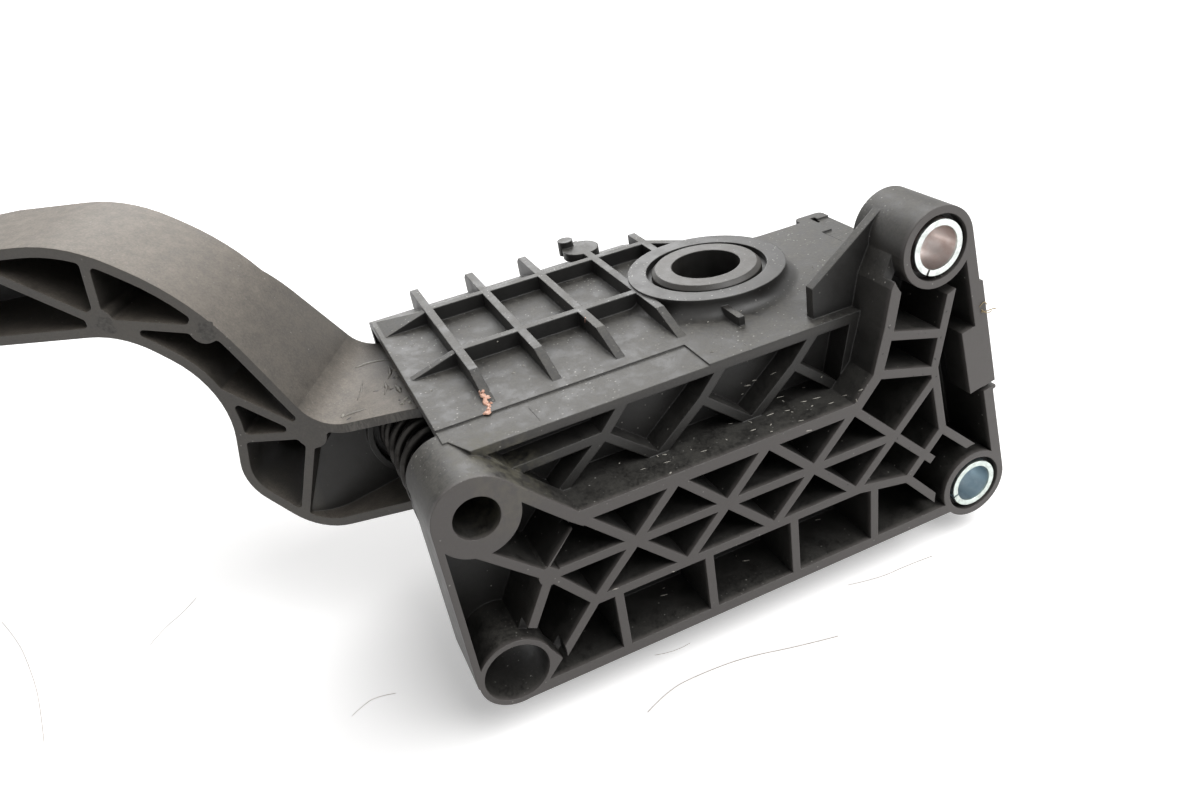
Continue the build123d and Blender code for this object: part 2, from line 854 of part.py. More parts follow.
fixing_bush("right_fixing_bush", right_boss, right_slit_angle)
fixing_bush("left_fixing_bush", left_boss, left_slit_angle)

# Pedal arm
tilt = radians(arm_tilt)
down_way = (sin(tilt), -cos(tilt))
back_way = (cos(tilt), sin(tilt))
arm_plane = Plane(
    origin=(arm_face_x, 0, 0), x_dir=(down_way[0], 0, down_way[1]), z_dir=(back_way[0], 0, back_way[1])
)
end_right_y = arm_right_y + arm_jog
end_left_y = end_right_y - arm_low_width
arm_start = -(pivot_z + drum_r + 20)
right_corners = [
    (arm_start, arm_right_y),
    (1.9, arm_right_y),
    (20.3, arm_right_y - 2.9),
    (35.3, arm_right_y + 0.668 * arm_jog),
    (54.9, end_right_y),
    (arm_length, end_right_y),
]
left_corners = [
    (arm_start, arm_left_y),
    (2.2, arm_left_y),
    (26.8, arm_left_y - 5.1),
    (39.4, arm_left_y + 7.2),
    (35.0, end_left_y - 12.6),
    (50.9, end_left_y),
    (arm_length, end_left_y),
]
first_pad = (54.0, end_left_y + 2.7)
second_pad = (35.4, arm_right_y + 0.51 * arm_jog)
knee = (22.2, arm_right_y - 3.9)
bowl_rib_foot = (29.6, arm_left_y - 2.0)
arm_ribs = [
    [first_pad, (52.0, arm_right_y + 0.93 * arm_jog)],
    [first_pad, (76.0, end_right_y - 0.8)],
    [first_pad, second_pad],
    [(38.6, end_left_y - 12.0), knee],
    [(38.6, arm_left_y + 17.6), knee],
    [knee, bowl_rib_foot],
    [(76.0, end_right_y - 0.8), (98.0, end_left_y + 0.8), (120.0, end_right_y - 0.8)],
    [(120.0, end_right_y - 0.8), (142.0, end_left_y + 0.8), (164.0, end_right_y - 0.8)],
]


def arm_side_point(along, deep):
    """A point seen along the pivot axis, from its place on the tilted face and its depth."""
    return (
        arm_face_x + along * down_way[0] + deep * back_way[0],
        along * down_way[1] + deep * back_way[1],
    )


def arm_side_corners(inset):
    """Corners of the arm seen along the pivot axis, its back moved in by a wall."""
    back_x = arm_back_x - inset
    deep = arm_depth - inset
    bend_z = -(back_x - arm_face_x - deep / cos(tilt)) / tan(tilt)
    return [
        (arm_face_x, 0),
        arm_side_point(arm_length, 0),
        arm_side_point(arm_length, arm_end_depth - inset),
        arm_side_point(pad_start, arm_end_depth - inset),
        arm_side_point(arm_taper_start, deep),
        (back_x, bend_z),
        (back_x, 14.0),
        (pivot_x + drum_r - inset, pivot_z),
        pivot,
        (pivot_x - 0.9 * drum_r, pivot_z - 0.43 * drum_r),
    ]


# Arm outline on the tilted face, then the same outline inside its side walls
with BuildSketch() as arm_face:
    with BuildLine():
        FilletPolyline(*right_corners, radius=arm_right_bends)
        FilletPolyline(*left_corners, radius=arm_left_bends)
        Line(right_corners[0], left_corners[0])
        Line(right_corners[-1], left_corners[-1])
    make_face()

with BuildSketch() as arm_hollow:
    add(arm_face.sketch)
    offset(amount=-arm_flange)

with BuildSketch() as arm_inside:
    add(arm_hollow.sketch)
    for line in arm_ribs:
        with BuildLine():
            Polyline(*line)
        trace(line_width=arm_rib, mode=Mode.SUBTRACT)
    with Locations(first_pad, second_pad):
        Circle(ejector_r, mode=Mode.SUBTRACT)
    with Locations(knee):
        Circle(arm_knee_r, mode=Mode.SUBTRACT)
    offset(amount=-arm_pocket_r)
    offset(amount=arm_pocket_r)

# Room in front of the arm's ribbed part, and room for the springs in its neck
knee_lean = (bowl_rib_foot[0] - knee[0]) / (knee[1] - bowl_rib_foot[1])
knee_line = [
    (knee[0] + knee_lean * (knee[1] + far), -far),
    (knee[0] + knee_lean * (knee[1] - far), far),
]
with BuildPart() as arm_pockets:
    with BuildSketch(arm_plane):
        add(arm_inside.sketch)
        with BuildLine():
            Polyline((-far, -far), *knee_line, (-far, far), close=True)
        make_face(mode=Mode.SUBTRACT)
    extrude(amount=far, both=True)
    with BuildSketch(side_plane(far)):
        with BuildLine():
            Polyline(*arm_side_corners(arm_web), close=True)
        make_face()
    extrude(amount=2 * far, mode=Mode.INTERSECT)

with BuildPart() as neck_pocket:
    with BuildSketch(arm_plane):
        add(arm_inside.sketch)
        with BuildLine():
            Polyline((far, -far), *knee_line, (far, far), close=True)
        make_face(mode=Mode.SUBTRACT)
    extrude(amount=far, both=True)
    with BuildSketch(side_plane(far)):
        with BuildLine():
            Polyline(
                (-far, -far),
                (arm_seat_x, -far),
                (arm_seat_x, pivot_z - drum_r),
                pivot,
                (-far, pivot_z),
                close=True,
            )
        make_face()
        with Locations(pivot):
            Circle(drum_r, mode=Mode.SUBTRACT)
    extrude(amount=2 * far, mode=Mode.INTERSECT)

# Pocket in the back of the neck, with two ribs across
neck_mid_y = (arm_right_y + arm_left_y) / 2
with BuildPart() as back_pocket:
    with BuildSketch(arm_plane):
        add(arm_hollow.sketch)
    extrude(amount=far, both=True)
    with BuildSketch(front_plane(arm_seat_x + arm_seat_wall)):
        with Locations((neck_mid_y, (back_pocket_low_z + back_pocket_high_z) / 2)):
            Rectangle(2 * (arm_right_y - arm_left_y), back_pocket_high_z - back_pocket_low_z)
        for k in (1, 2):
            with Locations((neck_mid_y, back_pocket_low_z + k * back_rib_gap)):
                Rectangle(2 * (arm_right_y - arm_left_y), arm_rib, mode=Mode.SUBTRACT)
    extrude(amount=arm_back_x, mode=Mode.INTERSECT)

# Foot pad with a rounded rim
with BuildPart() as foot_pad:
    with BuildSketch(arm_plane.offset(arm_end_depth - pad_sink)):
        with Locations((pad_centre, (end_right_y + end_left_y) / 2)):
            RectangleRounded(pad_length, pad_width, pad_corner_r)
    extrude(amount=pad_wall + pad_sink)
    pad_face = foot_pad.faces().sort_by(Axis(arm_plane.origin, arm_plane.z_dir))[-1]
    fillet(pad_face.edges(), radius=pad_edge_r)

# Trunnion that turns in the collar
with BuildPart() as upper_trunnion:
    with BuildSketch(side_plane(collar_top_y + trunnion_stand)):
        with Locations(pivot):
            Circle(trunnion_r)
    extrude(amount=collar_top_y + trunnion_stand - arm_right_y)
    chamfer(upper_trunnion.faces().sort_by(Axis.Y)[-1].edges(), length=hub_bevel)

# Pedal arm
with BuildPart() as pedal_arm:
    with BuildSketch(arm_plane):
        add(arm_face.sketch)
    extrude(amount=far, both=True)
    with BuildSketch(side_plane(far)):
        with BuildLine():
            Polyline(*arm_side_corners(0), close=True)
        make_face()
        with Locations(pivot):
            Circle(drum_r)
    extrude(amount=2 * far, mode=Mode.INTERSECT)
    add(arm_pockets.part, mode=Mode.SUBTRACT)
    add(neck_pocket.part, mode=Mode.SUBTRACT)
    add(back_pocket.part, mode=Mode.SUBTRACT)
    # Seat for the springs
    with BuildSketch(front_plane(arm_seat_x)):
        with Locations((spring_y, spring_z)):
            Circle(seat_ring_r + seat_ring_wall)
            Circle(seat_ring_r, mode=Mode.SUBTRACT)
        with Locations((neck_mid_y, spring_z)):
            Rectangle(
                arm_right_y - arm_left_y - arm_flange, 4 * seat_ring_r, mode=Mode.INTERSECT
            )
    extrude(amount=-seat_ring_height)
    spigot_r = inner_spring_r - inner_wire_r - spigot_gap
    with BuildSketch(front_plane(arm_seat_x)):
        with Locations((spring_y, spring_z)):
            Circle(spigot_r)
    extrude(amount=-spigot_height)
    # Trunnions, with a thrust shoulder at each side
    with BuildSketch(side_plane(roof_y - lever_gap)):
        with Locations(pivot):
            Circle(drum_r - 1)
    extrude(amount=roof_y - lever_gap - arm_right_y + 1)
    add(upper_trunnion.part)
    with BuildSketch(side_plane(arm_left_y + 1)):
        with Locations(pivot):
            Circle(shoulder_ring_r)
    extrude(amount=arm_left_y + 1 - bearing_top_y - lever_gap)
    with BuildSketch(side_plane(arm_left_y)):
        with Locations(pivot):
            Circle(lower_trunnion_r)
    extrude(amount=arm_left_y - lower_trunnion_end_y)
    # Bores of the trunnions
    with BuildSketch(side_plane(collar_top_y + trunnion_stand)):
        with Locations(pivot):
            Circle(trunnion_bore_r)
    extrude(amount=hub_bore_depth, mode=Mode.SUBTRACT)
    with BuildSketch(side_plane(lower_trunnion_end_y + carrier_spigot_length + 1)):
        with Locations(pivot):
            Circle(carrier_spigot_r + seat_gap)
    extrude(amount=carrier_spigot_length + 1, mode=Mode.SUBTRACT)
    add(foot_pad.part)
pedal_arm.part.label = "pedal_arm"
export_step(pedal_arm.part, "parts/pedal_arm.step")


def coil(name, mean_r, wire_r, turns):
    """Wire spring between the friction lever and the arm."""
    free_x = lever_back_x + wire_r + run_gap
    run = arm_seat_x - lever_back_x - 2 * wire_r - 2 * run_gap
    with BuildPart() as spring:
        with BuildLine() as path:
            Helix(run / turns, run, mean_r, center=(free_x, spring_y, spring_z), direction=(1, 0, 0))
        with BuildSketch(Plane(path.line @ 0, z_dir=path.line % 0)):
            Circle(wire_r)
        sweep(is_frenet=True)
    spring.part.label = name
    export_step(spring.part, f"parts/{name}.step")


coil("outer_return_spring", outer_spring_r, outer_wire_r, outer_turns)
coil("inner_return_spring", inner_spring_r, inner_wire_r, inner_turns)


def about_pivot(radius, angle):
    """A point seen along the pivot axis, at a radius and an angle from the pivot."""
    return (pivot_x + radius * cos(radians(angle)), pivot_z + radius * sin(radians(angle)))


# Friction lever: a seat under the springs, a beam and a shoe that bears on the arm's drum
with BuildPart() as friction_lever:
    with BuildSketch(front_plane(lever_front_x)):
        with Locations((spring_y, spring_z)):
            Circle(lever_seat_r)
        with Locations((spring_y, spring_z)):
            Rectangle(lever_width, lever_top_z - spring_z, align=(Align.CENTER, Align.MIN))
    extrude(amount=lever_wall)
    shoe_in = drum_r + run_gap
    shoe_out = shoe_in + shoe_wall
    with BuildSketch(side_plane(spring_y + lever_width / 2)):
        with BuildLine():
            Polyline(
                (lever_front_x, lever_pin_z),
                (lever_front_x, lever_top_z),
                about_pivot(shoe_in + 0.6 * shoe_wall, shoe_angle - 0.7 * shoe_half_angle),
                about_pivot(shoe_in + 0.6 * shoe_wall, shoe_angle + 0.5 * shoe_half_angle),
                (lever_back_x, lever_pin_z),
                close=True,
            )
        make_face()
        with BuildLine():
            Polyline(
                pivot,
                about_pivot(2 * shoe_out, shoe_angle - shoe_half_angle),
                about_pivot(2 * shoe_out, shoe_angle + shoe_half_angle),
                close=True,
            )
        shoe_wedge = make_face(mode=Mode.PRIVATE)
        with Locations(pivot):
            shoe_ring = Circle(shoe_out, mode=Mode.PRIVATE)
        add(shoe_ring & shoe_wedge)
        with Locations(pivot):
            Circle(shoe_in, mode=Mode.SUBTRACT)
    extrude(amount=lever_width)
    pin_length = lever_pin_length + 2 * run_gap
    with BuildSketch(side_plane(spring_y + lever_width / 2 + pin_length)):
        with Locations((pin_x, lever_pin_z)):
            Circle(lever_pin_r)
    extrude(amount=lever_width + 2 * pin_length)
    with BuildSketch(front_plane(lever_back_x)):
        with Locations((spring_y, spring_z)):
            Circle(spigot_r)
    extrude(amount=spigot_height)
friction_lever.part.label = "friction_lever"
export_step(friction_lever.part, "parts/friction_lever.step")


def pivot_sleeve(name, inner_r, low_y, high_y):
    """Plain bearing sleeve around a trunnion."""
    with BuildPart() as sleeve:
        with BuildSketch(side_plane(high_y)):
            with Locations(pivot):
                Circle(inner_r + bush_ring_wall)
                Circle(inner_r, mode=Mode.SUBTRACT)
        extrude(amount=high_y - low_y)
    sleeve.part.label = name
    export_step(sleeve.part, f"parts/{name}.step")


pivot_sleeve("collar_bush", ring_inner_r, roof_y, collar_top_y - groove_depth)
pivot_sleeve("cover_bush", lower_trunnion_r + run_gap, bearing_low_y, bearing_top_y)

# Sensor cover
cover_low_y = box_open_y - cover_flange_wall
tray_top_y = box_inner_y - body_wall - cover_gap
tray_front_x = flange_depth + cover_gap
tray_back_x = body_back_x - body_wall - cover_gap
tray_low_z = box_low_z + body_wall + cover_gap
tray_high_z = box_high_z - body_wall - cover_gap
tray_mid = ((tray_front_x + tray_back_x) / 2, (tray_low_z + tray_high_z) / 2)
tray_width = tray_back_x - tray_front_x
tray_height = tray_high_z - tray_low_z
hollow_width = tray_width - 2 * cover_wall
hollow_height = tray_height - 2 * cover_wall
bearing_r = lower_trunnion_r + run_gap + bush_ring_wall + seat_gap
groove_width = hollow_width + 2 * seal_inset
groove_height = hollow_height + 2 * seal_inset
screw_places = GridLocations(
    hollow_width - 2 * screw_inset, hollow_height - 2 * screw_inset, 2, 2
)
post_places = [
    (board_front_x + 3.5, board_low_z + 3.5),
    (board_back_x - 4.0, board_low_z + 3.5),
    (board_front_x + 3.5, board_high_z - 3.5),
]
tray_plane = Plane(
    origin=(tray_mid[0], 0, tray_mid[1]), x_dir=(1, 0, 0), z_dir=(0, -1, 0)
)
with BuildPart() as side_cover:
    with BuildSketch(side_plane(box_open_y)):
        with BuildLine():
            Polyline(
                (flange_depth - body_wall, box_low_z),
                (body_back_x, box_low_z),
                (body_back_x, box_high_z),
                (flange_depth - body_wall, box_high_z),
                close=True,
            )
        make_face()
    extrude(amount=cover_flange_wall)
    with BuildSketch(side_plane(tray_top_y)):
        with Locations(tray_mid):
            Rectangle(tray_width, tray_height)
    extrude(amount=tray_top_y - box_open_y + 0.5)
    with BuildSketch(side_plane(tray_top_y - cover_wall)):
        with Locations(tray_mid):
            Rectangle(hollow_width, hollow_height)
    extrude(amount=far, mode=Mode.SUBTRACT)
    # Bosses for the lid screws and posts for the sensor board
    with BuildSketch(tray_plane.offset(-tray_top_y + cover_wall / 2)):
        with screw_places:
            Circle(screw_boss_r)
    extrude(amount=tray_top_y - cover_wall / 2 - cover_low_y)
    with BuildSketch(side_plane(tray_top_y - cover_wall / 2)):
        with Locations(*post_places):
            Circle(post_r)
    extrude(amount=tray_top_y - cover_wall / 2 - board_top_y)
    with BuildSketch(side_plane(board_top_y)):
        with Locations(*post_places):
            Circle(post_pin_r)
    extrude(amount=board_wall + 1.0)
    # Bearing for the lower trunnion
    with BuildSketch(side_plane(bearing_top_y)):
        with Locations(pivot):
            Circle(bearing_r + bearing_wall)
    extrude(amount=bearing_length)
    # Connector socket
    with BuildSketch(Plane.XY.offset(socket_low_z)):
        with Locations((socket_x, socket_y)):
            Rectangle(socket_width, socket_thick)
    extrude(amount=socket_high_z - socket_low_z)
    with BuildSketch(Plane.XY.offset(socket_low_z + socket_wall)):
        with Locations((socket_x, socket_y)):
            RectangleRounded(
                socket_width - 2 * socket_wall, socket_thick - 2 * socket_wall, socket_corner_r
            )
    extrude(amount=socket_high_z, mode=Mode.SUBTRACT)
    with BuildSketch(Plane.XY.offset(socket_low_z)):
        with Locations((socket_x, socket_y)):
            with GridLocations(pin_pitch, pin_pitch, pin_count, 1):
                Rectangle(pin_width + 2 * seat_gap, pin_width + 2 * seat_gap)
    extrude(amount=socket_wall, mode=Mode.SUBTRACT)
    # Bores and the seal groove
    with BuildSketch(side_plane(bearing_top_y)):
        with Locations(pivot):
            Circle(bearing_r)
    extrude(amount=bearing_length, mode=Mode.SUBTRACT)
    with BuildSketch(tray_plane.offset(-cover_low_y)):
        with screw_places:
            Circle(screw_shank_r + seat_gap)
    extrude(amount=-screw_length, mode=Mode.SUBTRACT)
    with BuildSketch(side_plane(cover_low_y)):
        with Locations(tray_mid):
            RectangleRounded(groove_width + seal_width, groove_height + seal_width, seal_corner_r)
            RectangleRounded(
                groove_width - seal_width, groove_height - seal_width, seal_corner_r, mode=Mode.SUBTRACT
            )
    extrude(amount=-seal_wall, mode=Mode.SUBTRACT)
    # Clips over the catches of the housing
    for catch_z in catch_zs:
        with BuildSketch(Plane.XY.offset(catch_z - clip_width / 2)):
            with BuildLine():
                Polyline(
                    (body_back_x - 1, cover_low_y),
                    (body_back_x + cover_gap + clip_wall, cover_low_y),
                    (body_back_x + cover_gap + clip_wall, box_open_y + clip_reach),
                    (body_back_x + cover_gap, box_open_y + clip_reach - 0.6),
                    (body_back_x + cover_gap, box_open_y),
                    (body_back_x - 1, box_open_y),
                    close=True,
                )
            make_face()
        extrude(amount=clip_width)
        with BuildSketch(front_plane(body_back_x + cover_gap)):
            with Locations((catch_low_y - cover_gap + clip_window / 2, catch_z)):
                Rectangle(clip_window, clip_window)
        extrude(amount=2 * clip_wall, mode=Mode.SUBTRACT)
side_cover.part.label = "side_cover"
export_step(side_cover.part, "parts/side_cover.step")

# Seal in its groove
with BuildPart() as lid_seal:
    with BuildSketch(side_plane(cover_low_y + seal_wall)):
        with Locations(tray_mid):
            RectangleRounded(
                groove_width + seal_width - 2 * seat_gap,
                groove_height + seal_width - 2 * seat_gap,
                seal_corner_r,
            )
            RectangleRounded(
                groove_width - seal_width + 2 * seat_gap,
                groove_height - seal_width + 2 * seat_gap,
                seal_corner_r,
                mode=Mode.SUBTRACT,
            )
    extrude(amount=seal_wall)
lid_seal.part.label = "lid_seal"
export_step(lid_seal.part, "parts/lid_seal.step")

# Lid, held by four screws
with BuildPart() as sensor_lid:
    with BuildSketch(side_plane(cover_low_y)):
        with Locations(tray_mid):
            RectangleRounded(
                hollow_width + 2 * lid_border, hollow_height + 2 * lid_border, lid_corner_r
            )
    extrude(amount=lid_wall)
    lid_rim = sensor_lid.faces().sort_by(Axis.Y)[0].edges()
    fillet(lid_rim, radius=lid_edge_r)
    with BuildSketch(tray_plane.offset(-cover_low_y + lid_wall)):
        with screw_places:
            Circle(screw_shank_r + lever_gap)
    extrude(amount=-2 * lid_wall, mode=Mode.SUBTRACT)
sensor_lid.part.label = "sensor_lid"
export_step(sensor_lid.part, "parts/sensor_lid.step")

with BuildPart() as lid_screws:
    with BuildSketch(tray_plane.offset(-cover_low_y + lid_wall)):
        with screw_places:
            Circle(screw_head_r)
    extrude(amount=screw_head_height)
    head_rims = lid_screws.faces().sort_by(Axis.Y)[:4].edges()
    fillet(head_rims, radius=screw_head_height / 3)
    with BuildSketch(tray_plane.offset(-cover_low_y + lid_wall)):
        with screw_places:
            Circle(screw_shank_r)
    extrude(amount=-(screw_length - 0.5 + lid_wall))
    with BuildSketch(tray_plane.offset(-cover_low_y + lid_wall + screw_head_height)):
        with screw_places:
            Rectangle(screw_head_r, screw_cross_wall)
            Rectangle(screw_cross_wall, screw_head_r)
    extrude(amount=-screw_cross_depth, mode=Mode.SUBTRACT)
lid_screws.part.label = "lid_screws"
export_step(lid_screws.part, "parts/lid_screws.step")

# Magnet carrier on the end of the lower trunnion
groove_in_r = carrier_r - ring_wall - magnet_wall
with BuildPart() as magnet_carrier:
    with BuildSketch(side_plane(lower_trunnion_end_y)):
        with Locations(pivot):
            Circle(carrier_r)
    extrude(amount=carrier_height)
    with BuildSketch(side_plane(lower_trunnion_end_y + carrier_spigot_length)):
        with Locations(pivot):
            Circle(carrier_spigot_r)
    extrude(amount=carrier_spigot_length)
    with BuildSketch(side_plane(lower_trunnion_end_y - carrier_height)):
        with Locations(pivot):
            Circle(carrier_r)
            Circle(groove_in_r, mode=Mode.SUBTRACT)
    extrude(amount=-magnet_height, mode=Mode.SUBTRACT)
magnet_carrier.part.label = "magnet_carrier"
export_step(magnet_carrier.part, "parts/magnet_carrier.step")

with BuildPart() as flux_ring:
    with BuildSketch(side_plane(lower_trunnion_end_y - carrier_height + magnet_height)):
        with Locations(pivot):
            Circle(carrier_r)
            Circle(carrier_r - ring_wall + seat_gap, mode=Mode.SUBTRACT)
    extrude(amount=magnet_height)
flux_ring.part.label = "flux_ring"
export_step(flux_ring.part, "parts/flux_ring.step")

with BuildPart() as rotor_magnets:
    with BuildSketch(side_plane(lower_trunnion_end_y - carrier_height + magnet_height)):
        with Locations(pivot):
            Circle(carrier_r - ring_wall)
            Circle(groove_in_r + seat_gap, mode=Mode.SUBTRACT)
        gap_tip = 2 * carrier_r
        gap_rise = gap_tip * tan(radians(90 - magnet_angle / 2))
        for way in (1, -1):
            with BuildLine():
                Polyline(
                    pivot,
                    (pivot_x + way * gap_tip, pivot_z + gap_rise),
                    (pivot_x + way * gap_tip, pivot_z - gap_rise),
                    close=True,
                )
            make_face(mode=Mode.SUBTRACT)
    extrude(amount=magnet_height)
rotor_magnets.part.label = "rotor_magnets"
export_step(rotor_magnets.part, "parts/rotor_magnets.step")

# Sensor board and what it carries
with BuildPart() as sensor_board:
    with BuildSketch(side_plane(board_top_y)):
        with Locations((board_front_x, board_low_z)):
            Rectangle(
                board_back_x - board_front_x,
                board_high_z - board_low_z,
                align=(Align.MIN, Align.MIN),
            )
        with Locations(*post_places):
            Circle(post_pin_r + run_gap, mode=Mode.SUBTRACT)
    extrude(amount=board_wall)
sensor_board.part.label = "sensor_board"
export_step(sensor_board.part, "parts/sensor_board.step")

board_low_y = board_top_y - board_wall
with BuildPart() as hall_sensors:
    with BuildSketch(side_plane(board_low_y)):
        with Locations(pivot):
            with GridLocations(chip_pitch, chip_pitch, 2, 1):
                Rectangle(chip_length, chip_length)
    extrude(amount=chip_wall)
hall_sensors.part.label = "hall_sensors"
export_step(hall_sensors.part, "parts/hall_sensors.step")

with BuildPart() as board_capacitors:
    with BuildSketch(side_plane(board_low_y)):
        with Locations((socket_x, board_low_z + 12)):
            with GridLocations(capacitor_pitch, capacitor_pitch, 3, 2):
                Rectangle(capacitor_width, capacitor_length)
    extrude(amount=capacitor_width)
board_capacitors.part.label = "board_capacitors"
export_step(board_capacitors.part, "parts/board_capacitors.step")

with BuildPart() as connector_pins:
    with BuildSketch(Plane.XY.offset(board_high_z - pin_foot)):
        with Locations((socket_x, socket_y)):
            with GridLocations(pin_pitch, pin_pitch, pin_count, 1):
                Rectangle(pin_width, pin_width)
    extrude(amount=socket_low_z + socket_wall + pin_reach - board_high_z + pin_foot)
    pin_tips = connector_pins.faces().sort_by(Axis.Z)[-pin_count:].edges()
    chamfer(pin_tips, length=pin_width / 4)
connector_pins.part.label = "connector_pins"
export_step(connector_pins.part, "parts/connector_pins.step")

print("ok")
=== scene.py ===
"""Looks of the accelerator pedal: camera, light, finishes and the fine pieces on the CAD frame."""

import math

import bmesh
import bpy
from mathutils import Matrix, Vector, noise
from mathutils.bvhtree import BVHTree


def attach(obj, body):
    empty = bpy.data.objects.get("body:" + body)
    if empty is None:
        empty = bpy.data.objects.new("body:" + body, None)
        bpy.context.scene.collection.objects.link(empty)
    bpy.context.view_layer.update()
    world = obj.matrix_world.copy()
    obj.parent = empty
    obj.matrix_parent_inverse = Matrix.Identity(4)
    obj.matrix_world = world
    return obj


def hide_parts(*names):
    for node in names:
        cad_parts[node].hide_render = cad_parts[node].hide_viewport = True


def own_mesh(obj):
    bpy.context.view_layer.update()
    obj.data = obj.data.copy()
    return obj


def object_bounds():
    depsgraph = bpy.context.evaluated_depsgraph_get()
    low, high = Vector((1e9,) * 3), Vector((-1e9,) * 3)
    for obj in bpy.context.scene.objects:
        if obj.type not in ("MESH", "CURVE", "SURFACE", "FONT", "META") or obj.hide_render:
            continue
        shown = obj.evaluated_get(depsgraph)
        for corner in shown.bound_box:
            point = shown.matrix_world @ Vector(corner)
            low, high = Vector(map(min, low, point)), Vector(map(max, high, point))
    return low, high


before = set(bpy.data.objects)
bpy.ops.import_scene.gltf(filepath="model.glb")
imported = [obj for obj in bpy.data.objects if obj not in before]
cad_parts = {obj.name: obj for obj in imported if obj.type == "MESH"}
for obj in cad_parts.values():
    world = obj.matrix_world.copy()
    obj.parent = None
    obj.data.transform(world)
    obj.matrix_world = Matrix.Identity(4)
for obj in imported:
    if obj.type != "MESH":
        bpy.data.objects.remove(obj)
cad_low, cad_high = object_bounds()

# Units: places and lengths are metres in the row frame, pixels are those of the photograph
mm = 0.001
half_mm = mm / 2

# Camera
photo_width = 1200
photo_height = 792
focal_px = 963.3
sensor_width = 36
near_clip = 0.01
camera_place = Vector((-0.12275, 0.12322, -0.01907))
right = Vector((-0.4024, -0.1449, 0.9039))
up = Vector((0.4134, 0.8523, 0.3206))
forward = Vector((0.8168, -0.5027, 0.2830))

camera_data = bpy.data.cameras.new("view")
camera_data.sensor_width = sensor_width
camera_data.lens = focal_px / photo_width * sensor_width
camera_data.clip_start = near_clip
camera = bpy.data.objects.new("view", camera_data)
bpy.context.collection.objects.link(camera)
bpy.context.scene.camera = camera
turn = Matrix((right, up, -forward)).transposed()
camera.matrix_world = Matrix.Translation(camera_place) @ turn.to_4x4()
bpy.context.scene.view_settings.view_transform = "Standard"


def sight(px, py):
    """Direction from the camera through a pixel of the photograph."""
    return forward + right * ((px - photo_width / 2) / focal_px) - up * ((py - photo_height / 2) / focal_px)


